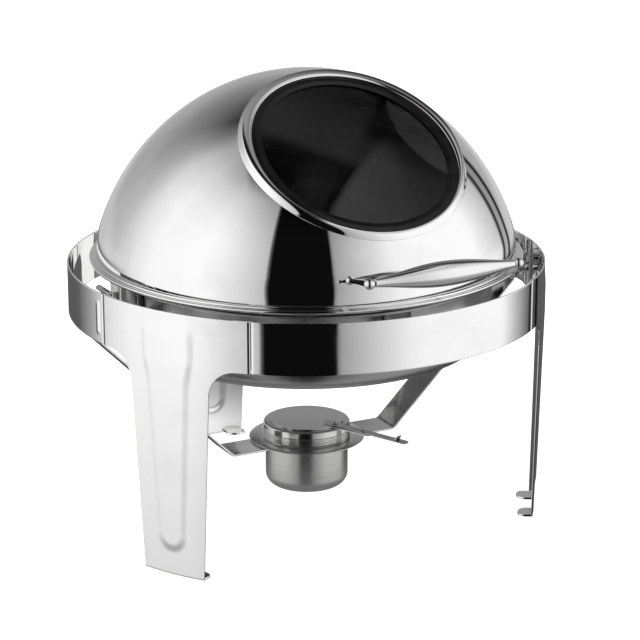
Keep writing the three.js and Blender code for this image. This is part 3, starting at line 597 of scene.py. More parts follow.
def foot_tab(name, bearing_of, across):
    """A level tongue: straight sides from inside the leg's foot, ending in a half ellipse.

    Over a share u of its length and w of its width, the half width is the tab's times the root of 1 -
    past^2, where past runs from 0 to 1 over the rounded end; the outer end follows the leg's radius."""
    straight = TAB_LENGTH - TAB_ROUND
    inward = np.concatenate([[0.0, 2 * MM], straight + TAB_ROUND * np.sin(np.linspace(0, math.pi / 2, 16))])
    past = np.clip((inward - straight) / TAB_ROUND, 0, 1)
    half = np.maximum(TAB_WIDTH / 2 * np.sqrt(1 - past**2), 0.02 * MM)
    side = across + half[:, None] * np.linspace(-1, 1, 17)[None, :]
    foot_radius = hoop_radius - LEG_LEAN - HOOP_SHEET / 2
    radius = np.sqrt(foot_radius**2 - side**2) - inward[:, None]
    turn = math.radians(bearing_of)
    x = radius * math.cos(turn) - side * math.sin(turn)
    y = radius * math.sin(turn) + side * math.cos(turn) + hoop_y
    points = np.stack([x, y, np.full(x.shape, TAB_SHEET)], -1)
    piece = mesh_piece(name, points, grid_faces(*x.shape), (x.mean(), y.mean(), -1))
    return finish_piece(thicken(piece, TAB_SHEET), "frame", "polished_steel", hoop_steel)


for side_name, bearing_of in (("front_left", -150), ("front_right", -30), ("rear", 90)):
    hoop_leg(side_name + "_leg", bearing_of)
    foot_tab(side_name + "_foot_tab_a", bearing_of, TAB_OFFSET)
    foot_tab(side_name + "_foot_tab_b", bearing_of, -TAB_OFFSET)

# ---------------------------------------------------------------- pivot brackets and pan hangers
# Satin strip, cut and folded. The hangers turn up beside the water pan and carry its rim; the pivot
# brackets are troughs spot-welded inside the hoop, whose inner wall ends in a curled edge beside the lid's
# rim.

satin, satin_in = finish_group(
    "satin_grain",
    [("Along", (0.0, 0.0, 0.0, 1)), ("Tint", (0.6, 0.6, 0.6, 1)), ("Gloss", 0.25), ("Depth", 1.0)],
)
grain = noise(satin, satin_in["Along"], 1.0, 4.0)
broad = noise(satin, satin_in["Along"], 0.13, 2.0)
shade = rescale(satin, broad, {"To Min": 0.9, "To Max": 1.08})
toned = vectors(satin, "SCALE", satin_in["Tint"], shade)
satin_rough = maths(satin, "ADD", rescale(satin, grain, {"To Min": -0.07, "To Max": 0.07}), satin_in["Gloss"])
group_gives(satin, toned, satin_rough, maths(satin, "MULTIPLY", grain, satin_in["Depth"]))


def satin_steel(name, tint, gloss, fineness, depth=0.00002, about_axis=False):
    """Brushed stainless whose grain runs where its fineness is low: per metre along X, Y and Z, or, about the
    burner's axis, per metre outwards, per radian round it and per metre up."""
    constants = {"Base Color": (*tint, 1), "Metallic": 1.0, "Roughness": gloss}
    material, tree, shader = new_material(name, constants)
    if about_axis:
        centred = from_axis(tree)
        parts = link(tree, "ShaderNodeSeparateXYZ", {}, {"Vector": centred}).outputs
        out = vectors(tree, "LENGTH", vectors(tree, "MULTIPLY", centred, (1, 1, 0)))
        polar = {"X": out, "Y": maths(tree, "ARCTAN2", parts["Y"], parts["X"]), "Z": parts["Z"]}
        place_at = link(tree, "ShaderNodeCombineXYZ", {}, polar).outputs["Vector"]
    else:
        place_at = place_on(tree)
    along = link(tree, "ShaderNodeMapping", {"Scale": fineness}, {"Vector": place_at}).outputs["Vector"]
    surface = place_group(tree, shader, satin, tint, gloss, depth)
    plug(tree, surface, "Along", along)
    return material


def folded(corners, radii):
    """A path of (x, z) points along straight runs, each inner corner rounded by an arc of its radius: the
    arc's middle lies on the corner's bisector, at the radius over the sine of half the corner's angle."""
    corners = [np.array(c, float) for c in corners]
    path = [corners[0]]
    for before, at, after, radius in zip(corners, corners[1:], corners[2:], radii):
        into = (before - at) / np.linalg.norm(before - at)
        out = (after - at) / np.linalg.norm(after - at)
        half = math.acos(np.clip(into @ out, -1, 1)) / 2
        start = at + into * radius / math.tan(half)
        centre = at + (into + out) / np.linalg.norm(into + out) * radius / math.sin(half)
        first = start - centre
        last = at + out * radius / math.tan(half) - centre
        share_of = np.linspace(0, 1, 8)[:, None]
        swing = math.acos(np.clip(first @ last / radius**2, -1, 1))
        around_bend = np.sin((1 - share_of) * swing) * first + np.sin(share_of * swing) * last
        path.extend(centre + around_bend / math.sin(swing))
    path.append(corners[-1])
    return np.array(path)


def strip(name, path, front, back, sheet, turn, slot_name="satin_steel", material=None, start_at=None):
    """A strip: the path of its middle in X and Z, carried level across from front to back, then turned
    about the hoop's axis. Where start_at(y) is given, its first run begins at that X."""
    y = np.linspace(front, back, 25 if start_at else 3)
    x, across = np.meshgrid(path[:, 0], y, indexing="ij")
    z = np.broadcast_to(path[:, 1][:, None], x.shape)
    if start_at:
        x = x.copy()
        x[0] = start_at(y)
    c, s = math.cos(turn), math.sin(turn)
    points = np.stack([x * c - across * s, x * s + across * c + hoop_y, z], -1)
    piece = mesh_piece(name, points, grid_faces(*x.shape), (0, hoop_y, 0.5), sharp=40)
    thicken(piece, sheet, offset=0.0)
    return finish_piece(piece, "frame", slot_name, material or bracket_steel, name)


bracket_steel = satin_steel("bracket_steel", (0.62, 0.62, 0.615), 0.2, (60.0, 60.0, 2500.0))
right_hanger_low, right_hanger_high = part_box("pan_hanger_right")
bracket_low, bracket_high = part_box("pivot_bracket_right")
HANGER_SHEET = 1.5 * MM
BRACKET_SHEET = 1.5 * MM
HANGER_FLANGE = 13.75 * MM
hanger_bend = [3.2 * MM, 3.2 * MM]


def hanger_path(flange_x):
    """Down the hoop's inside, level towards the pan, and up beside it to the rim."""
    low = right_hanger_low.z + HANGER_SHEET / 2
    tip = right_hanger_low.x + HANGER_SHEET / 2
    top = right_hanger_high.z
    return folded([(flange_x, low + HANGER_FLANGE), (flange_x, low), (tip, low), (tip, top)], hanger_bend)


side_flange = right_hanger_high.x - HANGER_SHEET / 2
hanger_front = right_hanger_low.y - hoop_y
hanger_back = right_hanger_high.y - hoop_y
side_hanger = hanger_path(side_flange)
strip("pan_hanger_right", side_hanger, hanger_front, hanger_back, HANGER_SHEET, 0)
strip("pan_hanger_left", side_hanger, -hanger_back, -hanger_front, HANGER_SHEET, math.pi)
front_hanger_low, front_hanger_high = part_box("pan_hanger_front")
front_flange = hoop_y - front_hanger_low.y - HANGER_SHEET / 2
front_hanger = hanger_path(front_flange)
strip("pan_hanger_front", front_hanger, front_hanger_low.x, front_hanger_high.x, HANGER_SHEET, -math.pi / 2)

wall_x = bracket_high.x - BRACKET_SHEET / 2
inner_x = bracket_low.x + BRACKET_SHEET / 2
web_z = bracket_low.z + BRACKET_SHEET / 2
curl_z = bracket_high.z - BRACKET_SHEET / 2
CURL_WIDTH = 5.2 * MM
curl_x = inner_x + CURL_WIDTH
trough_corners = [
    (wall_x, curl_z - 1.5 * MM),
    (wall_x, web_z),
    (inner_x, web_z),
    (inner_x, curl_z),
    (curl_x, curl_z),
    (curl_x, curl_z - 3 * MM),
]
trough = folded(trough_corners, [3 * MM, 3 * MM, 2.4 * MM, 2.2 * MM])
bracket_front = bracket_low.y - hoop_y
bracket_back = bracket_high.y - hoop_y
strip("pivot_bracket_right", trough, bracket_front, bracket_back, BRACKET_SHEET, 0)
strip("pivot_bracket_left", trough, -bracket_back, -bracket_front, BRACKET_SHEET, math.pi)

# ---------------------------------------------------------------- fasteners
# Bright plated screws, studs and nuts, and natural nylon spacers. The shapes are the frame's own, and the
# plating is a little cloudy.

plated_steel = satin_steel("plated_steel", (0.66, 0.67, 0.69), 0.26, (1500.0, 1500.0, 1500.0), 0.000012)
nylon, nylon_tree, nylon_shader = new_material("nylon", {"Subsurface Weight": 0.2, "Subsurface Scale": 0.002})
nylon_cloud = noise(nylon_tree, place_on(nylon_tree), 300.0, 4.0)
nylon_tone = ramp(nylon_tree, nylon_cloud, [(0.3, 0.70), (0.7, 0.82)])
plug(nylon_tree, nylon_shader, "Base Color", nylon_tone)
plug(nylon_tree, nylon_shader, "Roughness", rescale(nylon_tree, nylon_cloud, {"To Min": 0.35, "To Max": 0.6}))


def coat(node, material):
    """Gives a frame's own node a material."""
    slots = NODE[node].material_slots
    for slot_of in slots:
        slot_of.material = material
    if not slots:
        NODE[node].data.materials.append(material)


for node_name in NODE:
    if node_name.startswith(("hanger_stud", "hanger_nut", "pivot_screw", "pivot_nut", "handle_screw")):
        coat(node_name, plated_steel)
    if node_name.startswith("pivot_spacer"):
        coat(node_name, nylon)
    if node_name.startswith("lid_ear"):
        coat(node_name, bracket_steel)

# ---------------------------------------------------------------- burner arms
# Two polished flat strips that carry the burner: riveted under the burner's ring, bent up at 45 degrees and
# again into an upright tab against the hoop. Bends have an inside radius of a few times the sheet.

arm_steel = polished_steel("arm_steel", (0.74, 0.74, 0.735), 0.07, 0.08, 0.0002)
ARM_SHEET = 2 * MM
arm_low, arm_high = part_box("burner_arm_right")
arm_z = arm_low.z + ARM_SHEET / 2
arm_wall = arm_high.x - ARM_SHEET / 2
arm_bend = arm_wall - (hoop_bottom - arm_z)
arm_path = folded(
    [(arm_low.x, arm_z), (arm_bend, arm_z), (arm_wall, hoop_bottom), (arm_wall, arm_high.z)], [7 * MM, 9 * MM]
)
arm_half = (arm_high.y - arm_low.y) / 2
cup_hole = arm_low.x
ARM_INNER_END = 36 * MM


def round_end(y):
    """The arm's end follows the cup's opening, a circle about the burner's axis."""
    return np.sqrt(np.maximum(cup_hole**2 - y**2, ARM_INNER_END**2))


for arm_side, arm_turn in (("right", 0.0), ("left", math.pi)):
    strip(
        "burner_arm_" + arm_side, arm_path, -arm_half, arm_half, ARM_SHEET, arm_turn,
        "polished_steel", arm_steel, round_end,
    )

# ---------------------------------------------------------------- pans
# Two deep-drawn stainless pans, the food pan nested in the water pan: flat floor, rounded corner, upright
# wall and an outward rim with a rounded edge. Buffed only lightly, so that they shine softly.


TURNED_SHARP = 32.0


def turned(name, profile, origin, axis=(0, 0, 1), segments=128, inside=None):
    """A surface of revolution: profile points of (radius, distance along) carried round an axis through a
    point.

    The point at a turn t is origin + along * axis + radius * (cos t * side + sin t * other side)."""
    profile = np.asarray(profile, float)
    axis = np.asarray(Vector(axis).normalized())
    side = np.cross(axis, (0.0, 0.0, 1.0)) if abs(axis[2]) < 0.9 else np.array([1.0, 0.0, 0.0])
    side = side - axis * (side @ axis)
    side /= np.linalg.norm(side)
    other = np.cross(axis, side)
    t = full_turn(segments)
    ring = np.cos(t)[:, None] * side + np.sin(t)[:, None] * other
    origin = np.asarray(origin, float)
    points = origin + profile[None, :, 1:2] * axis + profile[None, :, 0:1] * ring[:, None, :]
    loops = not (profile[0, 0] == 0 and profile[-1, 0] == 0)
    faces = grid_faces(segments, len(profile), closed_rows=True, closed_columns=loops)
    return mesh_piece(name, points, faces, origin if inside is None else inside, TURNED_SHARP)


def arc(centre_r, centre_z, radius, start, end, steps):
    """Profile points on an arc about (r, z), between two angles in degrees."""
    t = np.radians(np.linspace(start, end, steps + 1))
    return [(centre_r + radius * math.cos(a), centre_z + radius * math.sin(a)) for a in t]


HOOP_AXIS = (0.0, hoop_y, 0.0)
PAN_SHEET = 1 * MM
pan_steel = polished_steel("pan_steel", (0.76, 0.76, 0.755), 0.26, 0.06, 0.0001)


def pan(node, wall_radius, corner, lip):
    """Floor, corner, wall and rim, outside then inside, at the heights of the frame's own pan."""
    low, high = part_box(node)
    rim = high.x
    top = high.z
    neck = wall_radius + 2 * MM
    drop = 3 * MM
    roll = 1.2 * MM
    tuck_r = rim - 1.4 * MM
    corner_r = wall_radius - corner
    return [
        (0, low.z),
        (corner_r, low.z),
        *arc(corner_r, low.z + corner, corner, -90, 0, 14)[1:],
        (wall_radius, top - drop),
        *arc(neck, top - drop, drop - PAN_SHEET, 180, 90, 5)[1:],
        (tuck_r, top - PAN_SHEET),
        *arc(tuck_r, top - PAN_SHEET - lip, 0.6 * MM, 90, 0, 3)[1:],
        (rim, top - PAN_SHEET - lip),
        *arc(rim - roll, top - roll, roll, 0, 90, 6),
        (neck, top),
        *arc(neck, top - drop, drop, 90, 180, 7)[1:],
        (wall_radius - PAN_SHEET, low.z + corner),
        *arc(corner_r, low.z + corner, corner - PAN_SHEET, 0, -90, 14)[1:],
        (0, low.z + PAN_SHEET),
    ]


WATER_RIM = 7.8 * MM
PAN_GAP = 4.7 * MM
water_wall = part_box("water_pan")[1].x - WATER_RIM
food_wall = water_wall - PAN_SHEET - PAN_GAP
for pan_node, pan_wall, pan_corner, pan_lip in (
    ("water_pan", water_wall, 25 * MM, 0.5 * MM),
    ("food_pan", food_wall, 20 * MM, 0.0),
):
    pan_profile = pan(pan_node, pan_wall, pan_corner, pan_lip)
    pan_piece = turned(pan_node, pan_profile, HOOP_AXIS, inside=(0, hoop_y, 0.2))
    finish_piece(pan_piece, "frame", "polished_steel", pan_steel, pan_node)

# ---------------------------------------------------------------- lid dome
# One deep-drawn sheet, mirror polished: an ellipsoid cap on a short upright wall, a flange, and an edge
# rolled into a bead. A round hole is cut for the window.

lid_steel = polished_steel("lid_steel", (0.93, 0.93, 0.925), 0.022, 0.035, 0.00012)
LID_SHEET = 1 * MM
LID_RIM_Z = hoop_top + 3.5 * MM
LID_RIM_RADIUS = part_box("lid_dome")[1].x
LID_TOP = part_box("lid_dome")[1].z
LID_WALL = LID_RIM_RADIUS - 7.6 * MM
LID_WALL_TOP = LID_RIM_Z + 8 * MM
LID_BLEND_TOP = LID_RIM_Z + 30 * MM
LID_WIDE = LID_WALL + 7.95 * MM
LID_MIDDLE = LID_RIM_Z - 42.2 * MM
LID_TALL = LID_TOP - LID_MIDDLE
LID_BEAD = 2 * MM
LID_HOLE = 107.5 * MM

WINDOW_LEAN = math.radians(56)
WINDOW_DROP = 1.9 * MM
GLASS_RADIUS = 90.3 * MM
GASKET_RADIUS = GLASS_RADIUS + 10.2 * MM
BEZEL_RADIUS = GASKET_RADIUS + 11.8 * MM
window_axis = np.array([0.0, -math.cos(WINDOW_LEAN), math.sin(WINDOW_LEAN)])
window_down = np.array([0.0, -math.sin(WINDOW_LEAN), -math.cos(WINDOW_LEAN)])
pole_reach = math.hypot(LID_WIDE * math.cos(WINDOW_LEAN), LID_TALL * math.sin(WINDOW_LEAN))
flat_share = math.sqrt(1 - ((BEZEL_RADIUS - 10.1 * MM) / LID_WIDE) ** 2) / pole_reach
lid_middle = np.array([0.0, hoop_y, LID_MIDDLE])
window_centre = lid_middle + WINDOW_DROP * window_down + flat_share * np.array(
    [0.0, -(LID_WIDE**2) * math.cos(WINDOW_LEAN), LID_TALL**2 * math.sin(WINDOW_LEAN)]
)


def lid_dome(hole_radius):
    """Two families of rows on one set of columns. Above the wall's blend, the ellipsoid is shrunk to a unit
    ball and spread flat from its lowest point, (X, Y) / (1 + Z), where the window's edge and the blend's
    top are both circles; rows run straight from one circle to the other. Below, rows follow the wall's
    profile down to the rim.
    """
    columns = full_turn(288)
    spoke = np.stack([np.cos(columns), np.sin(columns)], -1)
    lean_of_pole = math.atan2(LID_WIDE * math.cos(WINDOW_LEAN), LID_TALL * math.sin(WINDOW_LEAN))
    half_angle = math.asin(hole_radius / LID_WIDE)
    far = math.tan((lean_of_pole + half_angle) / 2)
    near = math.tan((lean_of_pole - half_angle) / 2)
    blend_z = (LID_BLEND_TOP - LID_MIDDLE) / LID_TALL
    blend_ring = math.sqrt(1 - blend_z**2) / (1 + blend_z)
    hole = np.array([0.0, -(far + near) / 2]) + (far - near) / 2 * spoke
    share_of = np.linspace(0, 1, 90)[:, None, None]
    flat = (1 - share_of) * hole[None] + share_of * blend_ring * spoke[None]
    square = (flat**2).sum(-1)
    up = (1 - square) / (1 + square)
    cap = np.stack([
        LID_WIDE * flat[..., 0] * (1 + up),
        hoop_y + LID_WIDE * flat[..., 1] * (1 + up),
        LID_MIDDLE + LID_TALL * up,
    ], -1)
    ring_radius = LID_WIDE * math.sqrt(1 - blend_z**2)
    blend_share = np.linspace(1, 0, 13)[1:]
    profile = [
        *[(LID_WALL + (ring_radius - LID_WALL) * q**2, LID_WALL_TOP + (LID_BLEND_TOP - LID_WALL_TOP) * q)
          for q in blend_share],
        (LID_WALL, LID_RIM_Z + 3.4 * MM),
        *arc(LID_WALL + 2.2 * MM, LID_RIM_Z + 2.6 * MM, 2.2 * MM, 180, 262, 7),
        (LID_WALL + 3.3 * MM, LID_RIM_Z + 0.2 * MM),
        *arc(LID_RIM_RADIUS - LID_BEAD, LID_RIM_Z, LID_BEAD, 165, -175, 18),
    ]
    profile = np.array(profile)
    skirt = np.stack([
        profile[:, None, 0] * spoke[None, :, 0],
        hoop_y + profile[:, None, 0] * spoke[None, :, 1],
        np.broadcast_to(profile[:, None, 1], (len(profile), len(columns))),
    ], -1)
    points = np.concatenate([cap, skirt])
    faces = grid_faces(len(points), len(columns), closed_columns=True)
    return mesh_piece("lid_dome", points, faces, lid_middle, 60)


dome = lid_dome(LID_HOLE)
finish_piece(thicken(dome, LID_SHEET, edge=0), "lid", "polished_steel", lid_steel, "lid_dome")

# ---------------------------------------------------------------- window
# A pressed bezel flows up out of the dome to a rounded crest and turns down inside it; a black gasket of C
# section grips the smoke-tinted glass, and a satin ring holds both from behind.


def window_bezel(foot_radius, crest_radius, inner_radius, rise, depth):
    """Over a turn t and a share q: from the foot, on the dome itself at a radius from the window's axis, a
    cubic with the dome's own slope at the foot and level at the crest, a nearly flat top, and a quarter
    turn inside it.

    The foot's height is where a line along the window's axis meets the ellipsoid, the larger root of a
    quadratic. Round the window's lower half, foot and crest draw in towards the axis and the crest sinks,
    so that the bezel runs smoothly into the dome.
    """
    t = full_turn(256)
    side = np.array([1.0, 0.0, 0.0])
    out = np.cos(t)[:, None] * side + np.sin(t)[:, None] * np.cross(window_axis, side)
    lower = smoothstep((0.35 - np.sin(t)) / 1.2)[:, None]
    foot_radius = foot_radius - 4 * MM * lower
    crest_radius = crest_radius - 7.4 * MM * lower
    rise = rise - 1.3 * MM * lower
    size = np.array([LID_WIDE, LID_WIDE, LID_TALL])

    def on_dome(radius):
        """Height above the window's plane at which the dome stands, at a radius from the window's axis."""
        start = (window_centre - lid_middle + radius * out) / size
        along = window_axis / size
        a, b, c = along @ along, 2 * start @ along, (start * start).sum(-1) - 1
        return (-b + np.sqrt(b * b - 4 * a * c)) / (2 * a)

    foot = on_dome(foot_radius)[:, None]
    slope = (on_dome(foot_radius + 1 * MM)[:, None] - foot) / (1 * MM)
    q = np.linspace(0, 1, 24)[None, :]
    run = foot_radius - crest_radius
    start_slope = -slope * run * 1.5
    climb = (2 * q**3 - 3 * q**2 + 1) * foot + (q**3 - 2 * q**2 + q) * start_slope
    climb = climb + (3 * q**2 - 2 * q**3) * rise
    lip = 0.8 * MM
    top_share = np.linspace(0, 1, 8)[1:]
    top_radius = crest_radius + (inner_radius + lip - crest_radius) * top_share
    top_height = rise + 0.2 * MM * (1 - lower) * np.sin(math.pi * top_share)
    turn_in = np.linspace(0, math.pi / 2, 8)[1:]
    inner = np.concatenate([inner_radius + lip * (1 - np.sin(turn_in)), [inner_radius, inner_radius]])
    lip_height = rise - lip * (1 - np.cos(turn_in))
    wall_height = np.broadcast_to([-depth * 0.5, -depth], (len(t), 2))
    inner = np.broadcast_to(inner, (len(t), len(inner)))
    radius = np.concatenate([foot_radius - run * q, top_radius, inner], 1)
    height = np.concatenate([climb, top_height, lip_height, wall_height], 1)
    points = window_centre + radius[..., None] * out[:, None, :] + height[..., None] * window_axis
    return mesh_piece("window_bezel", points, grid_faces(*radius.shape, closed_rows=True), lid_middle, 60)


BEZEL_FOOT = 112.5 * MM
BEZEL_CREST = 109.5 * MM
BEZEL_BORE = 100.8 * MM
BEZEL_RISE = 1.6 * MM
BEZEL_DEPTH = 6 * MM
BEZEL_SHEET = 0.9 * MM
bezel = window_bezel(BEZEL_FOOT, BEZEL_CREST, BEZEL_BORE, BEZEL_RISE, BEZEL_DEPTH)
finish_piece(thicken(bezel, BEZEL_SHEET, edge=0), "lid", "polished_steel", lid_steel, "window_bezel")

gasket_rubber, rubber_tree, rubber_shader = new_material("gasket_rubber", {"Specular IOR Level": 0.32})
rubber_place = place_on(rubber_tree)
rubber_dust = noise(rubber_tree, rubber_place, 60.0, 6.0)
rubber_tone = ramp(rubber_tree, rubber_dust, [(0.35, 0.004), (0.75, 0.011)])
rubber_rough = rescale(rubber_tree, rubber_dust, {"To Min": 0.10, "To Max": 0.20})
rubber_grain = noise(rubber_tree, rubber_place, 2200.0, 2.0)
rubber_bump = link(rubber_tree, "ShaderNodeBump", {"Distance": 0.00002}, {"Height": rubber_grain})
plug(rubber_tree, rubber_shader, "Base Color", rubber_tone)
plug(rubber_tree, rubber_shader, "Roughness", rubber_rough)
plug(rubber_tree, rubber_shader, "Normal", rubber_bump.outputs["Normal"])

GLASS_SHEET = 3.5 * MM
LIP = 0.9 * MM
GROOVE = GLASS_RADIUS + 6 * MM
groove_low = -LIP - GLASS_SHEET - 0.6 * MM
crown_share = np.linspace(0, 1, 7)
gasket = turned(
    "window_gasket",
    [
        (GLASS_RADIUS, groove_low - LIP),
        (GASKET_RADIUS, groove_low - LIP),
        *arc(GASKET_RADIUS - 0.7 * MM, -0.7 * MM, 0.7 * MM, 0, 90, 4),
        *zip(GASKET_RADIUS - 1.4 * MM - 7.2 * MM * crown_share, 0.35 * MM * np.sin(math.pi * crown_share)),
        *arc(GLASS_RADIUS + 0.5 * MM, -0.5 * MM, 0.5 * MM, 100, 180, 4),
        (GLASS_RADIUS, -LIP),
        (GROOVE, -LIP),
        (GROOVE, groove_low),
        (GLASS_RADIUS, groove_low),
    ],
    window_centre, window_axis, segments=192,
)
finish_piece(gasket, "lid", "black_rubber", gasket_rubber, "window_gasket")

glass_constants = {"Transmission Weight": 1.0, "IOR": 1.5}
smoked_glass, glass_tree, glass_shader = new_material("smoked_glass", glass_constants)
glass_haze = noise(glass_tree, place_on(glass_tree), 20.0, 4.0)
glass_tone = ramp(glass_tree, glass_haze, [(0.2, 0.17), (0.8, 0.20)])
glass_smears = {"From Min": 0.55, "From Max": 0.8, "To Min": 0.0, "To Max": 0.02}
plug(glass_tree, glass_shader, "Base Color", glass_tone)
plug(glass_tree, glass_shader, "Roughness", rescale(glass_tree, glass_haze, glass_smears))
glass_top = -LIP - 0.3 * MM
glass_edge = GROOVE - 0.3 * MM
glass = turned(
    "window_glass",
    [
        (0, glass_top - GLASS_SHEET),
        (glass_edge - 1 * MM, glass_top - GLASS_SHEET),
        *arc(glass_edge - 1 * MM, glass_top - GLASS_SHEET + 1 * MM, 1 * MM, -90, 0, 4)[1:],
        *arc(glass_edge - 1 * MM, glass_top - 1 * MM, 1 * MM, 0, 90, 4),
        (0, glass_top),
    ],
    window_centre, window_axis, segments=160, inside=window_centre + (glass_top - 2 * MM) * window_axis,
)
finish_piece(glass, "lid", "smoked_glass", smoked_glass, "window_glass")

retainer_steel = satin_steel("retainer_steel", (0.6, 0.6, 0.595), 0.24, (900.0, 900.0, 900.0))
RETAINER_SHEET = 1.2 * MM
retainer_inner = GLASS_RADIUS + 3 * MM
retainer_outer = GASKET_RADIUS + 1.5 * MM
retainer_top = groove_low - LIP - 0.3 * MM
retainer = turned(
    "window_retainer",
    [
        (retainer_inner, retainer_top - RETAINER_SHEET),
        (retainer_outer, retainer_top - RETAINER_SHEET),
        (retainer_outer, retainer_top),
        (retainer_inner, retainer_top),
    ],
    window_centre, window_axis, segments=160,
)
finish_piece(retainer, "lid", "satin_steel", retainer_steel, "window_retainer")

# ---------------------------------------------------------------- handle
# A spindle grip turned between two ball knuckles; each knuckle ends a thin post that is screwed to the lid
# from inside, with a small collar at the dome.

handle_steel = polished_steel("handle_steel", (0.88, 0.88, 0.875), 0.13, 0.06, 0.00012)
grip_low, grip_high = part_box("handle_grip")
grip_middle = (grip_low + grip_high) / 2
GRIP_HALF = grip_high.x
GRIP_RADIUS = (grip_high.z - grip_low.z) / 2
GRIP_END = 3.6 * MM
KNUCKLE = 5 * MM
POST = 3.6 * MM
along_grip = np.linspace(-1, 1, 65)
swell = np.cos(math.pi / 2 * along_grip) ** 1.3
grip = turned(
    "handle_grip",
    [(0, -GRIP_HALF), (GRIP_END - 0.5 * MM, -GRIP_HALF),
     *zip(GRIP_END + (GRIP_RADIUS - GRIP_END) * swell, along_grip * (GRIP_HALF - 0.4 * MM)),
     (GRIP_END - 0.5 * MM, GRIP_HALF), (0, GRIP_HALF)],
    grip_middle, (1, 0, 0), segments=72,
)
finish_piece(grip, "lid", "polished_steel", handle_steel, "handle_grip")

POST_FOOT_Z = LID_RIM_Z + 27 * MM
foot_reach = LID_WIDE * math.sqrt(1 - ((POST_FOOT_Z - LID_MIDDLE) / LID_TALL) ** 2)
knuckle_x = GRIP_HALF + KNUCKLE
POST_SPLAY = 21.3 * MM
POST_COLLAR = 1.2 * MM
foot_x = knuckle_x - POST_SPLAY
for post_side, sign in (("right", 1), ("left", -1)):
    ball = np.array([sign * knuckle_x, grip_middle.y, grip_middle.z])
    foot = np.array([sign * foot_x, hoop_y - math.sqrt(foot_reach**2 - foot_x**2), POST_FOOT_Z])
    length = float(np.linalg.norm(ball - foot))
    neck = length - math.sqrt(KNUCKLE**2 - POST**2)
    profile = [
        (0, -POST_COLLAR),
        (POST + 0.3 * MM, -POST_COLLAR),
        *arc(POST - 0.3 * MM, POST_COLLAR, 0.7 * MM, -20, 80, 5),
        (POST - 1.0 * MM, 2.8 * MM),
        (POST - 1.1 * MM, length * 0.45),
        (POST - 0.5 * MM, length * 0.75),
        (POST, neck - 2 * MM),
        *arc(0, length, KNUCKLE, math.degrees(math.asin((neck - length) / KNUCKLE)), 90, 18),
    ]
    profile[-1] = (0, length + KNUCKLE)
    post_name = "handle_post_" + post_side
    post = turned(post_name, profile, foot, ball - foot, segments=48, inside=(foot + ball) / 2)
    finish_piece(post, "lid", "polished_steel", handle_steel, post_name)

# ---------------------------------------------------------------- burner
# A satin cup hangs by its lip in a ring on the arms. A finely turned cover with three rolled beads sits on
# its neck, and a damper disc swings over the flame port on a rivet, pushed by a long flat lever.

CUP_SHEET = 1 * MM
cup_steel = satin_steel("cup_steel", (0.66, 0.66, 0.65), 0.24, (0.0, 3.0, 2600.0), 0.00004, about_axis=True)
cover_tint = (0.62, 0.62, 0.61)
cover_steel = satin_steel("cover_steel", cover_tint, 0.16, (1200.0, 3.0, 1500.0), 0.00001, about_axis=True)
disc_tint = (0.74, 0.74, 0.735)
disc_steel = satin_steel("disc_steel", disc_tint, 0.24, (1900.0, 4.0, 10.0), 0.00002, about_axis=True)
cup_low, cup_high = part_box("burner_cup")
cup_lip = cup_high.x
cup_radius = cup_lip - 2.3 * MM
CUP_CORNER = 12 * MM
CUP_FLOOR = 0.8 * MM
cup_flat = cup_radius - CUP_CORNER
ring_low, ring_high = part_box("cup_ring")
lip_z = ring_high.z + 0.3 * MM
cover_low, cover_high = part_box("burner_cover")
COVER_SHEET = 1.1 * MM
cover_radius = cup_radius + 2.1 * MM
neck_radius = cover_radius - COVER_SHEET - 0.6 * MM
cup = turned(
    "burner_cup",
    [
        (0, cup_low.z + CUP_FLOOR),
        (cup_flat - 4 * MM, cup_low.z + CUP_FLOOR),
        (cup_flat - 2 * MM, cup_low.z),
        *arc(cup_flat, cup_low.z + CUP_CORNER, CUP_CORNER, -90, 0, 12),
        (cup_radius, lip_z - 1 * MM),
        *arc(cup_radius + 0.6 * MM, lip_z - 0.6 * MM, 0.6 * MM, 180, 90, 3)[1:],
        (cup_lip - 0.4 * MM, lip_z),
        (cup_lip, lip_z + 0.4 * MM),
        (cup_lip - 0.4 * MM, lip_z + CUP_SHEET),
        (neck_radius, lip_z + CUP_SHEET),
        (neck_radius, cup_high.z),
        (neck_radius - CUP_SHEET, cup_high.z),
        (cup_radius - CUP_SHEET, lip_z),
        *arc(cup_flat, cup_low.z + CUP_CORNER, CUP_CORNER - CUP_SHEET, 0, -90, 12),
        (0, cup_low.z + CUP_FLOOR + CUP_SHEET),
    ],
    HOOP_AXIS, segments=96, inside=(0, hoop_y, 0.05),
)
finish_piece(cup, "frame", "satin_steel", cup_steel, "burner_cup")

cup_ring = turned(
    "cup_ring",
    [
        (cup_radius + 0.8 * MM, ring_low.z),
        (ring_high.x - 0.4 * MM, ring_low.z),
        *arc(ring_high.x - 0.6 * MM, (ring_low.z + ring_high.z) / 2, 0.6 * MM, -80, 80, 6),
        (cup_radius + 0.8 * MM, ring_high.z),
    ],
    HOOP_AXIS, segments=96,
)
finish_piece(cup_ring, "frame", "satin_steel", disc_steel, "cup_ring")

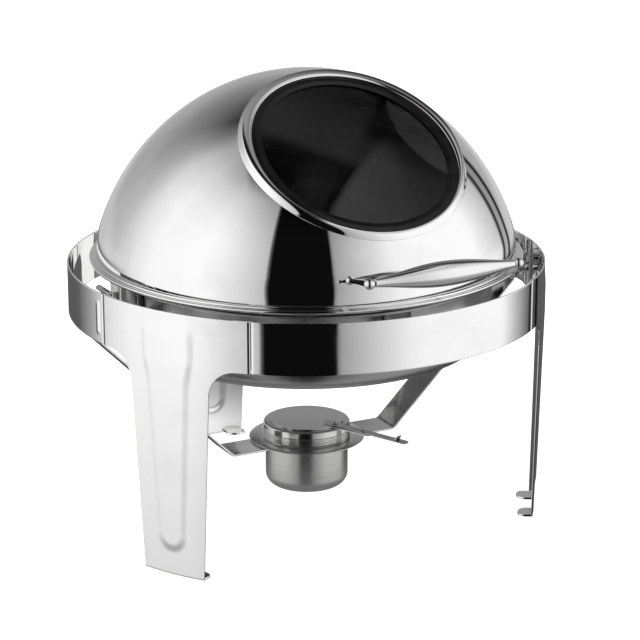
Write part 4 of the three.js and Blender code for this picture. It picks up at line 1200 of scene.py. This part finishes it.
COVER_BEAD = 0.9 * MM
PORT = 20 * MM
cover_side = []
for bead_z in (cover_low.z + 1.5 * MM, cover_low.z + 4.3 * MM, cover_low.z + 7.1 * MM):
    cover_side += arc(cover_radius - 0.1 * MM, bead_z, COVER_BEAD * 1.15, -75, 75, 8)
cover = turned(
    "burner_cover",
    [
        (cover_radius - COVER_SHEET, cover_low.z),
        (cover_radius - 0.3 * MM, cover_low.z),
        (cover_radius, cover_low.z + 0.4 * MM),
        *cover_side,
        (cover_radius, cover_low.z + 8.6 * MM),
        (cover_radius, cover_high.z - 2.4 * MM),
        *arc(cover_radius - 2.4 * MM, cover_high.z - 2.4 * MM, 2.4 * MM, 0, 90, 8)[1:],
        (PORT + 0.4 * MM, cover_high.z),
        (PORT, cover_high.z - 0.4 * MM),
        (PORT, cover_high.z - COVER_SHEET),
        *arc(cover_radius - 2.4 * MM, cover_high.z - 2.4 * MM, 1.3 * MM, 90, 0, 6),
    ],
    HOOP_AXIS, segments=96, inside=(0, hoop_y, 0.08),
)
finish_piece(cover, "frame", "polished_steel", cover_steel, "burner_cover")

LEVER_BEARING = math.radians(-66)
lever_way = np.array([math.cos(LEVER_BEARING), math.sin(LEVER_BEARING)])
lever_side = np.array([-lever_way[1], lever_way[0]])
disc_low, disc_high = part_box("damper_disc")
DAMPER = disc_high.x
DAMPER_SHEET = disc_high.z - disc_low.z
LEVER = 9 * MM
LEVER_START = 9.5 * MM
LEVER_REACH = 89.5 * MM
TONGUE_REACH = 40.5 * MM
THUMB_FROM_END = 16 * MM
PIVOT_INSET = 1.5 * MM
LEVER_RIVET = 34.5 * MM


def flat_plate(name, outline, bottom, top):
    """A plate between two heights from a closed outline of (x, y) points about the burner's axis, edges
    broken."""
    outline = np.asarray(outline, float) + np.array([0, hoop_y])
    count = len(outline)
    points = np.concatenate([np.c_[outline, np.full(count, bottom)], np.c_[outline, np.full(count, top)]])
    i = np.arange(count)
    sides = np.stack([i, (i + 1) % count, (i + 1) % count + count, i + count], -1)
    middle = (*outline.mean(0), (bottom + top) / 2)
    piece = mesh_piece(name, points, [sides, i[None, ::-1], i[None] + count], middle)
    return break_edges(piece, 0.25 * MM, 50)


def bar_outline(start, end, width):
    """Outline of a bar with round ends along the lever, between two distances from the burner's axis."""
    t = np.linspace(-math.pi / 2, math.pi / 2, 15)
    r = width / 2
    far = (end + r * np.cos(t))[:, None] * lever_way + (r * np.sin(t))[:, None] * lever_side
    back = (start - r * np.cos(t))[:, None] * lever_way - (r * np.sin(t))[:, None] * lever_side
    return np.concatenate([far, back])


t_disc = full_turn(96)
tongue_half = math.asin(LEVER / 2 / DAMPER)
lever_angle = LEVER_BEARING % (2 * math.pi)
away = (t_disc - lever_angle + math.pi) % (2 * math.pi) - math.pi
kept = t_disc[np.abs(away) > tongue_half + 0.02]
order = np.argsort((kept - lever_angle) % (2 * math.pi))
rim_points = DAMPER * np.stack([np.cos(kept[order]), np.sin(kept[order])], -1)
tongue_end = bar_outline(DAMPER, DAMPER + TONGUE_REACH, LEVER + 1 * MM)[:15]
disc_outline = np.concatenate([tongue_end, rim_points])
disc = flat_plate("damper_disc", disc_outline, disc_low.z, disc_high.z)
finish_piece(disc, "damper", "satin_steel", disc_steel, "damper_disc")
lever_steel = satin_steel("lever_steel", (0.5, 0.5, 0.495), 0.2, (300.0, 300.0, 1500.0), 0.000015)
lever_bottom = disc_high.z + 0.3 * MM
lever_top = lever_bottom + DAMPER_SHEET
lever_reach = DAMPER + LEVER_REACH
lever_outline = bar_outline(DAMPER - LEVER_START, lever_reach - LEVER / 2, LEVER)
lever = flat_plate("damper_lever", lever_outline, lever_bottom, lever_top)
finish_piece(lever, "damper", "satin_steel", lever_steel, "damper_lever")


def thumb_tab():
    """A tongue lanced out of the lever: over a share q of its length it leaves level and turns up a quarter
    round."""
    q = np.linspace(0, 1, 12)
    bend = 4.5 * MM
    reach = lever_reach - THUMB_FROM_END + bend * np.sin(q * math.pi / 2)
    rise = lever_top + bend * (1 - np.cos(q * math.pi / 2))
    w = np.linspace(-0.5, 0.5, 5) * LEVER * 0.8
    plan = reach[:, None, None] * lever_way + w[None, :, None] * lever_side + np.array([0, hoop_y])
    points = np.concatenate([plan, np.broadcast_to(rise[:, None, None], (12, 5, 1))], -1)
    below = points.mean((0, 1)) - np.array([0, 0, 1.0])
    piece = mesh_piece("lever_thumb_tab", points, grid_faces(12, 5), below)
    return finish_piece(thicken(piece, 1 * MM, 0.0002), "damper", "satin_steel", lever_steel)


thumb_tab()


SHANK = 1.8 * MM
HEAD = 3.3 * MM
HEAD_RISE = 1.2 * MM
TAIL = 2.7 * MM
TAIL_RISE = 0.9 * MM


def rivet_head(name, distance, body):
    """Domed rivet head on the lever and the shank under it: a quarter ellipse turned about the rivet's
    axis."""
    low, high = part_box(name)
    centre = (*(distance * lever_way + np.array([0, hoop_y])), 0)
    top = high.z - 1 * MM
    t = np.linspace(0, math.pi / 2, 8)
    dome_of = [(HEAD * math.cos(a), top + HEAD_RISE * math.sin(a)) for a in t]
    dome_of[-1] = (0, top + HEAD_RISE)
    profile = [
        (0, low.z),
        (TAIL, low.z),
        (TAIL, low.z + TAIL_RISE),
        (SHANK, low.z + TAIL_RISE),
        (SHANK, top),
        *dome_of,
    ]
    piece = turned(name, profile, centre, segments=28, inside=(centre[0], centre[1], low.z + 2 * MM))
    return finish_piece(piece, body, "plated_steel", plated_steel, name)


rivet_head("damper_pivot_rivet", DAMPER - PIVOT_INSET, "frame")
rivet_head("lever_rivet", DAMPER + LEVER_RIVET, "damper")
